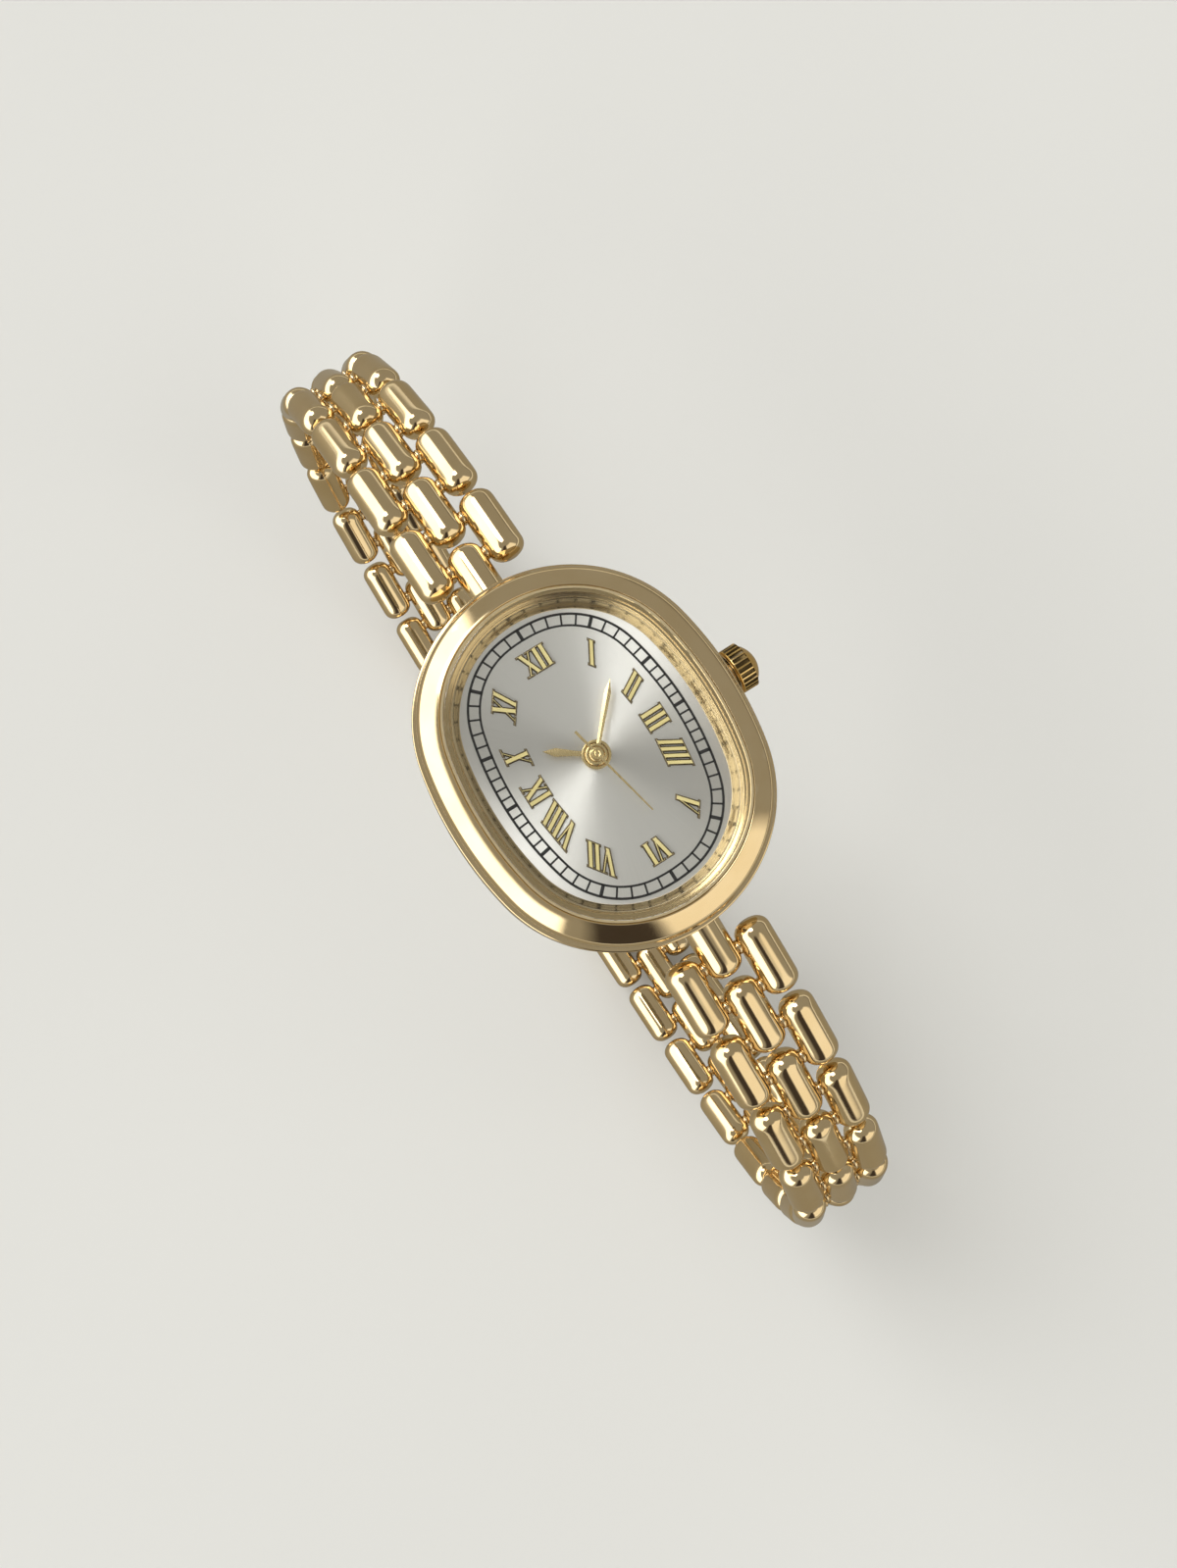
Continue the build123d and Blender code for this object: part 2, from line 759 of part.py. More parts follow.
def hour_numerals():
    """The twelve numerals, with IIII at 4 o'clock."""
    letters = ["I", "II", "III", "IIII", "V", "VI", "VII", "VIII", "IX", "X", "XI", "XII"]
    return [numeral(hour + 1, letters[hour]) for hour in range(len(letters))]


def hand_blade(reach, width, start):
    """Leaf-shaped blade along +Y from start to its point."""
    root = width * blade_root_share
    widest = start + (reach - start) * blade_widest_share
    return make_face(
        Polyline(
            (-root / 2, start),
            (root / 2, start),
            (width / 2, widest),
            (0, reach),
            (-width / 2, widest),
            close=True,
        )
    )


def hand(level, hub_radius, bore, blade, clock_angle):
    """Hand with a round hub, turned clockwise from 12 o'clock."""
    face = Circle(hub_radius) + blade - Circle(bore)
    return Pos(0, 0, level) * Rot(0, 0, -clock_angle) * extrude(face, amount=hand_thickness)


def hour_hand():
    """Short leaf hand, the lowest of the three."""
    blade = hand_blade(hour_hand_reach, hour_hand_width, hour_pipe_radius)
    return hand(hour_hand_level, hour_hub_radius, hour_pipe_radius, blade, hour_hand_clock_angle)


def minute_hand():
    """Long leaf hand."""
    blade = hand_blade(minute_hand_reach, minute_hand_width, cannon_pipe_radius)
    return hand(minute_hand_level, minute_hub_radius, cannon_pipe_radius, blade, minute_hand_clock_angle)


def second_hand():
    """Needle with a tail and a low hub."""
    half, tip = second_hand_width / 2, second_tip_width / 2
    needle = make_face(
        Polyline(
            (-half, -second_hand_tail),
            (half, -second_hand_tail),
            (half, 0),
            (tip, second_hand_reach),
            (-tip, second_hand_reach),
            (-half, 0),
            close=True,
        )
    )
    return hand(second_hand_level, second_hub_radius, second_arbor_radius, needle, second_hand_clock_angle)


def movement_plate():
    """Main plate, with the recess of the motion work, the stem's bearing and all pivot holes."""
    plate = movement_disc(0, plate_bottom_level, plate_top_level)
    hour_tip = hour_module * (hour_wheel_teeth / 2 + tooth_addendum_share)
    plate -= post((0, 0), hour_tip + recess_play, motion_floor_level, overrun)
    plate -= post(minute_wheel_place, minute_wheel_tip + recess_play, motion_floor_level, overrun)
    minute_post_top = plate_top_level - running_gap
    plate += post(minute_wheel_place, minute_post_radius, motion_floor_level, minute_post_top)
    plate -= post((0, 0), cannon_pipe_bore, plate_bottom_level - overrun, overrun)
    for place in (third_wheel_place, fifth_wheel_place, rotor_place):
        bore = train_arbor_radius + running_gap
        bore_top = plate_bottom_level + pivot_depth + running_gap
        plate -= post(place, bore, plate_bottom_level - overrun, bore_top)
    for place in dial_foot_places():
        plate -= post(place, dial_foot_radius + fit_gap, plate_bottom_level - overrun, overrun)
    boss_end = movement_width / 2
    plate += block(
        (boss_end - stem_boss_length, -stem_boss_width / 2, plate_bottom_level - stem_boss_drop),
        (boss_end, stem_boss_width / 2, plate_bottom_level),
    )
    clutch_tip = clutch_module * (clutch_teeth / 2 + tooth_addendum_share)
    plate -= along_x(clutch_tip + fit_gap, clutch_x - fit_gap, clutch_x + clutch_length + fit_gap)
    plate -= along_x(stem_radius + running_gap, stem_tip_x - fit_gap, movement_width)
    return plate


def movement_holder():
    """Plastic ring that centres the movement in the case, clear of the battery and the quartz can."""
    low = plate_top_level - holder_height
    ring = oval_disc(case_wall + fit_gap, low, plate_top_level)
    ring -= movement_disc(-fit_gap, low, plate_top_level)
    ring -= post((0, battery_y), clamp_reach + battery_clearance, low, plate_bottom_level)
    can_half = quartz_can_length / 2 + fit_gap
    can_end = quartz_can_y + quartz_can_radius + fit_gap
    ring -= block((-can_half, 0, low), (can_half, can_end, plate_bottom_level))
    return ring - along_x(crown_tube_radius, 0, case_width)


def train_bridge():
    """Cover plate of the train on two pillars, with pivot holes."""
    plate = block(
        (-bridge_left, -bridge_bottom, bridge_level),
        (bridge_right, bridge_top, bridge_level + bridge_thickness),
    )
    pillars = [
        (pillar_inset - bridge_left, pillar_inset - bridge_bottom),
        (bridge_right - pillar_inset, right_pillar_y),
    ]
    for place in pillars:
        plate += post(place, pillar_radius, bridge_level, plate_bottom_level)
    plate -= post((0, 0), second_arbor_radius + running_gap, bridge_level - overrun, bridge_level + overrun)
    for place in (third_wheel_place, fifth_wheel_place, rotor_place):
        bore = train_arbor_radius + running_gap
        plate -= post(place, bore, bridge_level - overrun, bridge_level + overrun)
    return plate


def train_arbor(place, radius):
    """Arbor from the main plate's pivot hole to the bridge."""
    return post(place, radius, bridge_level, plate_bottom_level + pivot_depth)


def rotor():
    """Magnet and pinion of the step motor."""
    magnet_top = plate_bottom_level - wheel_gap
    magnet = post(rotor_place, rotor_magnet_radius, magnet_top - rotor_magnet_height, magnet_top)
    away = rotor_angle + 180
    pinion = toothed_wheel(
        rotor_pinion_teeth, rotor_module, away, fifth_wheel_level, fifth_wheel_level + wheel_thickness
    )
    return magnet + Pos(*rotor_place) * pinion + train_arbor(rotor_place, train_arbor_radius)


def fifth_wheel():
    """Wheel driven by the rotor, with the pinion that drives the second wheel."""
    top = fifth_wheel_level + wheel_thickness
    wheel_turn = facing_gap(fifth_wheel_teeth, rotor_angle)
    wheel = toothed_wheel(fifth_wheel_teeth, rotor_module, wheel_turn, fifth_wheel_level, top)
    pinion_turn = fifth_wheel_angle + 180
    pinion_top = second_wheel_level + wheel_thickness
    pinion = toothed_wheel(fifth_pinion_teeth, fifth_module, pinion_turn, top, pinion_top)
    return Pos(*fifth_wheel_place) * (wheel + pinion) + train_arbor(fifth_wheel_place, train_arbor_radius)


def second_wheel():
    """Wheel of the second hand, on the long arbor through the centre."""
    top = second_wheel_level + wheel_thickness
    wheel_turn = facing_gap(second_wheel_teeth, fifth_wheel_angle)
    wheel = toothed_wheel(second_wheel_teeth, fifth_module, wheel_turn, second_wheel_level, top)
    pinion = toothed_wheel(second_pinion_teeth, third_module, 180, top, third_wheel_level + wheel_thickness)
    arbor_top = second_hand_level + hand_thickness
    return wheel + pinion + post((0, 0), second_arbor_radius, bridge_level, arbor_top)


def third_wheel():
    """Wheel between the second wheel and the centre wheel."""
    top = third_wheel_level + wheel_thickness
    wheel_turn = facing_gap(third_wheel_teeth, 0)
    wheel = toothed_wheel(third_wheel_teeth, third_module, wheel_turn, third_wheel_level, top)
    pinion = toothed_wheel(third_pinion_teeth, centre_module, 0, top, centre_wheel_level + wheel_thickness)
    return Pos(*third_wheel_place) * (wheel + pinion) + train_arbor(third_wheel_place, train_arbor_radius)


def centre_wheel():
    """Wheel with the pipe that the cannon pinion grips."""
    top = centre_wheel_level + wheel_thickness
    wheel_turn = facing_gap(centre_wheel_teeth, 180)
    wheel = toothed_wheel(centre_wheel_teeth, centre_module, wheel_turn, centre_wheel_level, top)
    pipe_top = hour_hand_level
    body = wheel + post((0, 0), centre_pipe_radius, centre_wheel_level, pipe_top)
    return body - post((0, 0), centre_pipe_bore, centre_wheel_level - overrun, pipe_top + overrun)


def cannon_pinion():
    """Pipe of the minute hand, with the pinion that drives the minute wheel."""
    low = motion_floor_level + running_gap
    pinion = toothed_wheel(cannon_pinion_teeth, cannon_module, 0, low, low + wheel_thickness)
    pipe_top = minute_hand_level + hand_thickness
    body = pinion + post((0, 0), cannon_pipe_radius, low, pipe_top)
    return body - post((0, 0), cannon_pipe_bore, low - overrun, pipe_top + overrun)


def minute_wheel():
    """Wheel and pinion between the cannon pinion and the hour wheel."""
    low = motion_floor_level + running_gap
    top = low + wheel_thickness
    wheel = toothed_wheel(minute_wheel_teeth, cannon_module, facing_gap(minute_wheel_teeth, 180), low, top)
    pinion_top = top + wheel_gap + wheel_thickness
    body = wheel + toothed_wheel(minute_pinion_teeth, hour_module, 180, top, pinion_top)
    bore = post((0, 0), minute_post_radius + running_gap, low - overrun, pinion_top + overrun)
    return Pos(*minute_wheel_place) * (body - bore)


def hour_wheel():
    """Wheel and pipe of the hour hand."""
    low = motion_floor_level + running_gap + wheel_thickness + wheel_gap
    wheel_turn = facing_gap(hour_wheel_teeth, 0)
    wheel = toothed_wheel(hour_wheel_teeth, hour_module, wheel_turn, low, low + wheel_thickness)
    pipe_top = hour_hand_level + hand_thickness
    body = wheel + post((0, 0), hour_pipe_radius, low, pipe_top)
    return body - post((0, 0), hour_pipe_bore, low - overrun, pipe_top + overrun)


def stator():
    """Soft-iron plate round the rotor, and the coil's core that closes its circuit."""
    top = plate_bottom_level - wheel_gap
    low = top - stator_thickness
    core_top = coil_y + coil_core_width / 2
    bar = block(
        (-stator_left, rotor_place[1] - stator_bar_width / 2, low),
        (stator_right, rotor_place[1] + stator_bar_width / 2, top),
    )
    for left in (-stator_left, stator_right - stator_leg_width):
        bar += block((left, rotor_place[1], low), (left + stator_leg_width, core_top, top))
    bar -= post(rotor_place, rotor_magnet_radius + rotor_air_gap, low - overrun, top + overrun)
    core = block(
        (-stator_left, coil_y - coil_core_width / 2, low - stator_thickness),
        (stator_right, core_top, low),
    )
    return [bar, core]


def coil():
    """Winding on the core, between the stator's legs."""
    start = stator_leg_width - stator_left + fit_gap
    end = stator_right - stator_leg_width - fit_gap
    half_width = coil_core_width / 2 + fit_gap
    half_height = stator_thickness / 2 + fit_gap
    winding = Pos((start + end) / 2, coil_y, coil_level) * Rot(0, 90, 0) * Cylinder(coil_radius, end - start)
    return winding - block(
        (start - overrun, coil_y - half_width, coil_level - half_height),
        (end + overrun, coil_y + half_width, coil_level + half_height),
    )


def circuit_board():
    """Board behind the coil, with the quartz can on it."""
    top = coil_level - coil_radius - board_gap
    low = top - board_thickness
    board = movement_disc(board_inset, low, top)
    board &= block((-movement_width, board_start, low), (movement_width, movement_length, top))
    can = Pos(0, quartz_can_y, top + quartz_can_radius) * Rot(0, 90, 0)
    return [board, can * Cylinder(quartz_can_radius, quartz_can_length)]


def battery():
    """Button cell with its narrower negative cap towards the dial."""
    low = plate_bottom_level - battery_thickness
    shoulder = plate_bottom_level - battery_cap_height
    can = post((0, battery_y), battery_radius, low, shoulder)
    cap = post((0, battery_y), battery_cap_radius, shoulder, plate_bottom_level)
    return fillet(can.edges(), battery_edge_radius) + cap


def battery_clamp():
    """Strap that holds the cell, with a leg on each side."""
    top = plate_bottom_level - battery_thickness
    low = top - clamp_thickness
    inside = clamp_reach - clamp_thickness
    strap_low, strap_high = battery_y - clamp_width / 2, battery_y + clamp_width / 2
    clamp = block((-clamp_reach, strap_low, low), (clamp_reach, strap_high, top))
    clamp += block((inside, strap_low, low), (clamp_reach, strap_high, plate_bottom_level))
    clamp += block((-clamp_reach, strap_low, low), (-inside, strap_high, plate_bottom_level))
    return clamp


def crown_tube():
    """Sleeve pressed into the case wall."""
    start = case_width / 2 - case_wall
    end = case_width / 2 + crown_tube_reach
    tube = along_x(crown_tube_radius, start, end)
    return tube - along_x(crown_tube_radius - crown_tube_wall, start - overrun, end + overrun)


crown_start = case_width / 2 + crown_gap
crown_end = crown_start + crown_barrel_length + crown_dome_rise
crown_recess_radius = crown_tube_radius + running_gap + crown_gasket_width + running_gap
crown_recess_end = case_width / 2 + crown_tube_reach + running_gap + fit_gap


def crown():
    """Fluted barrel with a domed end, hollow where it covers the tube."""
    outline = Circle(crown_radius)
    for index in range(crown_flutes):
        outline -= Pos(*polar(crown_radius, 360 * index / crown_flutes)) * Circle(crown_flute_radius)
    barrel = extrude(outline, amount=crown_barrel_length)
    dome_foot_radius = crown_radius - crown_dome_inset
    dome_radius = (dome_foot_radius**2 + crown_dome_rise**2) / (2 * crown_dome_rise)
    ball = Pos(0, 0, crown_barrel_length + crown_dome_rise - dome_radius) * Sphere(dome_radius)
    core_length = crown_barrel_length + crown_dome_rise
    core = Pos(0, 0, core_length / 2) * Cylinder(dome_foot_radius, core_length)
    body = Pos(crown_start, 0, crown_level) * Rot(0, 90, 0) * (barrel + (core & ball))
    body -= along_x(crown_recess_radius, crown_start - overrun, crown_recess_end)
    return body - along_x(stem_radius, crown_start, crown_end - crown_cap_wall)


def crown_gasket():
    """Ring in the crown that seals on the tube."""
    inner = crown_tube_radius + running_gap
    start = crown_start + fit_gap
    end = start + crown_gasket_length
    ring = along_x(inner + crown_gasket_width, start, end)
    return ring - along_x(inner, start - overrun, end + overrun)


def setting_stem():
    """Stem screwed into the crown, square where it slides through the clutch wheel."""
    square_end = stem_tip_x + stem_square_length
    rod = along_x(stem_radius, square_end, crown_end - crown_cap_wall)
    half = stem_square / 2
    return rod + block((stem_tip_x, -half, crown_level - half), (square_end, half, crown_level + half))


def clutch_wheel():
    """Toothed wheel that turns with the stem and lets it slide through."""
    wheel = toothed_wheel(clutch_teeth, clutch_module, 0, 0, clutch_length)
    half = stem_square / 2 + running_gap
    wheel -= block((-half, -half, -overrun), (half, half, clutch_length + overrun))
    return Pos(clutch_x, 0, crown_level) * Rot(0, 90, 0) * wheel


def solids_of(shape):
    """All solids of a shape, or of a list of shapes."""
    shapes = shape if isinstance(shape, list) else [shape]
    return [solid for piece in shapes for solid in piece.solids()]


def write_node(name, shape, place):
    """Write one node, moved to its place, as a STEP file."""
    solids = [place * solid for solid in solids_of(shape)]
    whole = solids[0] if len(solids) == 1 else Compound(children=solids)
    whole.label = name
    export_step(whole, f"parts/{name}.step")


def write_head():
    """Write every node of the case, the dial side and the movement."""
    pieces = [
        case_middle, bezel, crystal, crystal_gasket, case_back, back_gasket, dial, hour_numerals,
        hour_hand, minute_hand, second_hand, movement_plate, movement_holder, train_bridge,
        circuit_board, battery, battery_clamp, coil, stator, rotor, fifth_wheel, second_wheel,
        third_wheel, centre_wheel, cannon_pinion, minute_wheel, hour_wheel, clutch_wheel,
        setting_stem, crown, crown_gasket, crown_tube,
    ]
    for make in pieces:
        write_node(make.__name__, make(), at_head)


def write_bracelet():
    """Write both sides of the bracelet; the 6 o'clock side is the 12 o'clock side turned round."""
    here, across = Pos(0, 0, 0), Rot(0, 0, 180)
    for row in range(1, rows_per_side + 1):
        pieces = link_row(row)
        write_node(f"upper_link_row_{row:02d}", pieces, here)
        write_node(f"lower_link_row_{row:02d}", pieces, across)
    for name, inner_y, place in (
        ("upper", clasp_split_y + clasp_face_gap, here),
        ("lower", -clasp_split_y + clasp_face_gap, across),
    ):
        body, magnets = clasp_half(inner_y)
        write_node(f"{name}_clasp_half", body, place)
        write_node(f"{name}_clasp_magnets", magnets, place)


def print_joints():
    """Print what the joints need: places in mm and the angle that opens each hinge to straight."""
    print(f"dial height {dial_height:.4f}, loop half width {loop_half_width:.4f}, loop top {loop_top:.4f}")
    print(f"back level {dial_height + band_bottom_level - back_flange_height:.4f}")
    print(f"stem height {dial_height + crown_level:.4f}, crown travel {crown_travel}")
    print(f"third wheel {third_wheel_place}, minute wheel {minute_wheel_place}")
    print(f"fifth wheel {fifth_wheel_place}, rotor {rotor_place}")
    slopes = [stub_angle] + [link_angle(index) for index in range(1, 2 * rows_per_side + 1)] + [-180]
    slopes = [slope - 360 if slope > 90 else slope for slope in slopes]
    bends = [slopes[index] - slopes[index + 1] for index in range(len(slopes) - 1)]
    for row in range(1, rows_per_side + 1):
        pin = pins[2 * row - 2]
        opening = bends[2 * row - 2] + bends[2 * row - 1]
        print(f"hinge {row} y {pin[0]:.4f} z {pin[1]:.4f} opens {opening:.2f}")
    pin = pins[2 * rows_per_side]
    print(f"hinge clasp y {pin[0]:.4f} z {pin[1]:.4f} opens {bends[-1]:.2f}")


os.makedirs("parts", exist_ok=True)
write_head()
write_bracelet()
print_joints()
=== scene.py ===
from math import acos, asin, atan2, copysign, cos, degrees, dist, hypot, pi, radians, sin, sqrt

import bmesh
import bpy
from mathutils import Matrix, Vector


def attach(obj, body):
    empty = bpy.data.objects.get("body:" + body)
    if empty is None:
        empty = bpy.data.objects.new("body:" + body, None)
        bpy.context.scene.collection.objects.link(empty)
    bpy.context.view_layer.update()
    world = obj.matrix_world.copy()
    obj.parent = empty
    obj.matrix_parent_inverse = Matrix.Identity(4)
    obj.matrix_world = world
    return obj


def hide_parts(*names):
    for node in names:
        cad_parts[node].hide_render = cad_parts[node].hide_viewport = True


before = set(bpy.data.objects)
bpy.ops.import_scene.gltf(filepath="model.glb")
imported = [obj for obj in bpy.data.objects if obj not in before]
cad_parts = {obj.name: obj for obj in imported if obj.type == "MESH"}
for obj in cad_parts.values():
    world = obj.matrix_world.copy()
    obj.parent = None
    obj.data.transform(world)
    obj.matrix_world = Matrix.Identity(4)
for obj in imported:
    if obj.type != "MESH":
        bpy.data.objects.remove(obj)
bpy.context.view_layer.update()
mm = 0.001
print("frame loaded,", len(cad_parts), "nodes")

# Everything on the head is measured in mm from the top of the dial, and lifted by this
headLift = max(vertex.co.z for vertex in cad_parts["dial"].data.vertices) / mm
lift = Matrix.Translation((0, 0, headLift * mm))
turnRound = Matrix.Rotation(pi, 4, "Z")
sides = {"upper": Matrix.Identity(4), "lower": turnRound}  # the lower half is the upper one turned round
alongX, alongY = (0, pi / 2, 0), (pi / 2, 0, 0)  # turns that lay an upright rod down
near = 0.005  # mm, places closer than this are the same one


# Small helpers for modelling

def point(x, y, z):
    return Vector((x * mm, y * mm, z * mm))


def selectOnly(piece):
    if bpy.context.object and bpy.context.object.mode != "OBJECT":
        bpy.ops.object.mode_set(mode="OBJECT")
    bpy.ops.object.select_all(action="DESELECT")
    piece.select_set(True)
    bpy.context.view_layer.objects.active = piece


def settle(name):  # names a new primitive and moves its place into its mesh
    piece = bpy.context.object
    piece.name = name
    piece.data.name = name
    bpy.ops.object.transform_apply(location=True, rotation=True, scale=True)
    return piece


def addRod(name, flats, radius, length, place=(0, 0, 0), turn=(0, 0, 0)):
    bpy.ops.object.select_all(action="DESELECT")
    bpy.ops.mesh.primitive_cylinder_add(
        vertices=flats, radius=radius * mm, depth=length * mm, location=point(*place), rotation=turn
    )
    return settle(name)


def blockBetween(name, low, high):  # box between two opposite corners
    low, high = point(*low), point(*high)
    bpy.ops.object.select_all(action="DESELECT")
    bpy.ops.mesh.primitive_cube_add(size=1, location=(low + high) / 2, scale=high - low)
    return settle(name)


def edit(piece):
    selectOnly(piece)
    bpy.ops.object.mode_set(mode="EDIT")
    bpy.ops.mesh.select_mode(type="VERT")
    bpy.ops.mesh.select_all(action="DESELECT")


def leave():
    bpy.ops.object.mode_set(mode="OBJECT")


def selectWhole():
    bpy.ops.mesh.select_all(action="SELECT")


def pick(piece, kind, test):  # selects vertices, edges or faces by the test, in edit mode
    bpy.ops.mesh.select_mode(type=kind)
    bpy.ops.mesh.select_all(action="DESELECT")
    mesh = bmesh.from_edit_mesh(piece.data)
    parts = {"VERT": mesh.verts, "EDGE": mesh.edges, "FACE": mesh.faces}[kind]
    for part in parts:
        if test(part):
            part.select_set(True)
    mesh.select_flush_mode()
    bmesh.update_edit_mesh(piece.data)


def edgeRuns(axis):  # test for edges along an axis
    def test(edge):
        run = (edge.verts[1].co - edge.verts[0].co).normalized()
        return abs(run[axis]) > 0.99
    return test


def facing(direction, least=0.9):  # test for faces that point along a direction
    return lambda face: face.normal.dot(Vector(direction)) > least


def cutLoops(axis, places):  # cuts a loop of edges round the edited mesh at each place along an axis
    for place in places:
        spot, normal = [0, 0, 0], [0, 0, 0]
        spot[axis], normal[axis] = place, 1
        selectWhole()
        bpy.ops.mesh.bisect(plane_co=point(*spot), plane_no=normal)


def insetAndRaise(width, rise):  # insets the selected top face and moves it up
    bpy.ops.mesh.inset(thickness=width * mm)
    bpy.ops.transform.translate(value=point(0, 0, rise))


def closeMesh(piece, gap=0.002):
    edit(piece)
    selectWhole()
    bpy.ops.mesh.remove_doubles(threshold=gap * mm)
    bpy.ops.mesh.normals_make_consistent(inside=False)
    leave()


def smooth(piece, angle=35):
    selectOnly(piece)
    bpy.ops.object.shade_smooth_by_angle(angle=radians(angle))


def applyModifier(piece, kind, **settings):
    selectOnly(piece)
    modifier = piece.modifiers.new(kind.title(), kind)
    for key, value in settings.items():
        setattr(modifier, key, value)
    bpy.ops.object.modifier_apply(modifier=modifier.name)


def breakEdges(piece, width, angle=50):  # small bevel on every edge sharper than the angle
    limit = {"limit_method": "ANGLE", "angle_limit": radians(angle)}
    applyModifier(piece, "BEVEL", width=width * mm, segments=2, **limit)


def cutAway(piece, tool):
    applyModifier(piece, "BOOLEAN", operation="DIFFERENCE", object=tool, solver="EXACT")
    remove(tool)


def copyOf(pattern, matrix, name="copy"):  # a copy with its own mesh, set in place
    piece = bpy.data.objects.new(name, pattern.data.copy())
    bpy.context.scene.collection.objects.link(piece)
    piece.data.transform(matrix)
    return piece


def joined(name, pieces):
    selectOnly(pieces[0])
    for piece in pieces[1:]:
        piece.select_set(True)
    bpy.ops.object.join()
    whole = bpy.context.object
    whole.name = name
    whole.data.name = name
    return whole


def remove(*pieces):
    for piece in pieces:
        bpy.data.objects.remove(piece)


def paint(piece, material):
    piece.data.materials.clear()
    piece.data.materials.append(material)


def finishPiece(piece, material, body, slot, *nodes):
    paint(piece, material)
    for face in piece.data.polygons:
        face.material_index = 0
    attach(piece, body)
    if nodes:
        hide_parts(*nodes)


def paintSecond(piece, material, test):  # the faces that pass the test get a second material
    piece.data.materials.append(material)
    for face in piece.data.polygons:
        face.material_index = int(test(face))


# Materials: each one is built from nodes on object coordinates

def startMaterial(name):
    material = bpy.data.materials.new(name)
    material.use_nodes = True
    tree = material.node_tree
    shader = tree.nodes["Principled BSDF"]
    return material, tree, shader


def node(tree, kind, **values):
    made = tree.nodes.new(kind)
    for key, value in values.items():
        if hasattr(made, key):
            setattr(made, key, value)
        else:
            made.inputs[key.replace("_", " ")].default_value = value
    return made


def math(tree, operation, first, second=None):
    made = node(tree, "ShaderNodeMath", operation=operation)
    for index, value in enumerate((first, second)):
        if value is None:
            continue
        if isinstance(value, (int, float)):
            made.inputs[index].default_value = value
        else:
            tree.links.new(value, made.inputs[index])
    return made.outputs[0]


def objectPlace(tree, stretch=(1, 1, 1)):
    place = node(tree, "ShaderNodeTexCoord")
    mapping = node(tree, "ShaderNodeMapping")
    mapping.inputs["Scale"].default_value = stretch
    tree.links.new(place.outputs["Object"], mapping.inputs["Vector"])
    return mapping.outputs["Vector"]


def apart(tree, place):  # the three coordinates of a place
    parts = node(tree, "ShaderNodeSeparateXYZ")
    tree.links.new(place, parts.inputs["Vector"])
    return [parts.outputs[axis] for axis in "XYZ"]


def noise(tree, place, scale, detail=3.0, roughness=0.5):
    made = node(tree, "ShaderNodeTexNoise", Scale=scale, Detail=detail, Roughness=roughness)
    tree.links.new(place, made.inputs["Vector"])
    return made.outputs["Fac"]


def spread(tree, value, low, high, fromLow=0.3, fromHigh=0.7):  # maps a pattern to a range
    made = node(tree, "ShaderNodeMapRange")
    tree.links.new(value, made.inputs["Value"])
    for key, number in (("From Min", fromLow), ("From Max", fromHigh), ("To Min", low), ("To Max", high)):
        made.inputs[key].default_value = number
    return made.outputs["Result"]


def twoTones(tree, factor, first, second):  # each tone is a colour, or comes from another node
    made = node(tree, "ShaderNodeMix", data_type="RGBA")
    tree.links.new(factor, made.inputs["Factor"])
    for socket, tone in ((6, first), (7, second)):  # the colour sockets of this node
        if isinstance(tone, tuple):
            made.inputs[socket].default_value = (*tone, 1)
        else:
            tree.links.new(tone, made.inputs[socket])
    return made.outputs[2]


def bump(tree, shader, height, depth, strength=1.0):  # depth in mm
    made = node(tree, "ShaderNodeBump", Strength=strength, Distance=depth * mm)
    tree.links.new(height, made.inputs["Height"])
    tree.links.new(made.outputs["Normal"], shader.inputs["Normal"])


def ovalReach(tree, x, y, halfWidth, halfLength, power):  # 1 on a rounded oval, less inside it
    reaches = []
    for value, half in ((x, halfWidth), (y, halfLength)):
        share = math(tree, "DIVIDE", math(tree, "ABSOLUTE", value), half * mm)
        reaches.append(math(tree, "POWER", share, power))
    return math(tree, "ADD", *reaches)


goldFinishes = {
    "bezelGold": {"tones": ((0.80, 0.63, 0.37), (0.76, 0.58, 0.32)), "shine": (0.045, 0.10), "depth": 0.0012,
                  "innerWall": (8.2, 10.55, 2.45), "wallShine": 0.2, "wallShadeTone": (0.60, 0.46, 0.24)},
    "linkGold": {"tones": ((0.80, 0.63, 0.37), (0.76, 0.58, 0.32)), "shine": (0.05, 0.12), "depth": 0.0016},
    "handGold": {"tones": ((0.88, 0.70, 0.34), (0.82, 0.63, 0.28)), "shine": (0.22, 0.32), "depth": 0.0010},
    "numeralGold": {"tones": ((0.97, 0.86, 0.42), (0.92, 0.79, 0.35)), "shine": (0.36, 0.46), "depth": 0.0006,
                    "metal": 0.35},
    # painted shade: near-black gold laid on the crown's flute floors, the hands' side faces and the dark rim
    # round the numerals
    "paintedShadeGold": {"tones": ((0.13, 0.09, 0.035), (0.09, 0.06, 0.025)), "shine": (0.25, 0.40), "depth": 0.0010},
    # painted shade: the crown's gold is deeper and browner than the case's, for the darker surroundings it
    # reflects
    "crownGold": {"tones": ((0.80, 0.54, 0.18), (0.74, 0.47, 0.14)), "shine": (0.10, 0.20), "depth": 0.0016},
}
plating = {
    "clouds": 420, "ripple": 900, "hairlines": 1500, "hairStretch": (9, 1, 9), "hairShare": 0.25,
    "rubbedTone": (0.97, 0.84, 0.60), "rubbedShare": 0.2, "rubbedEdge": (0.52, 0.62), "wallEdge": (0.96, 1.0),
}


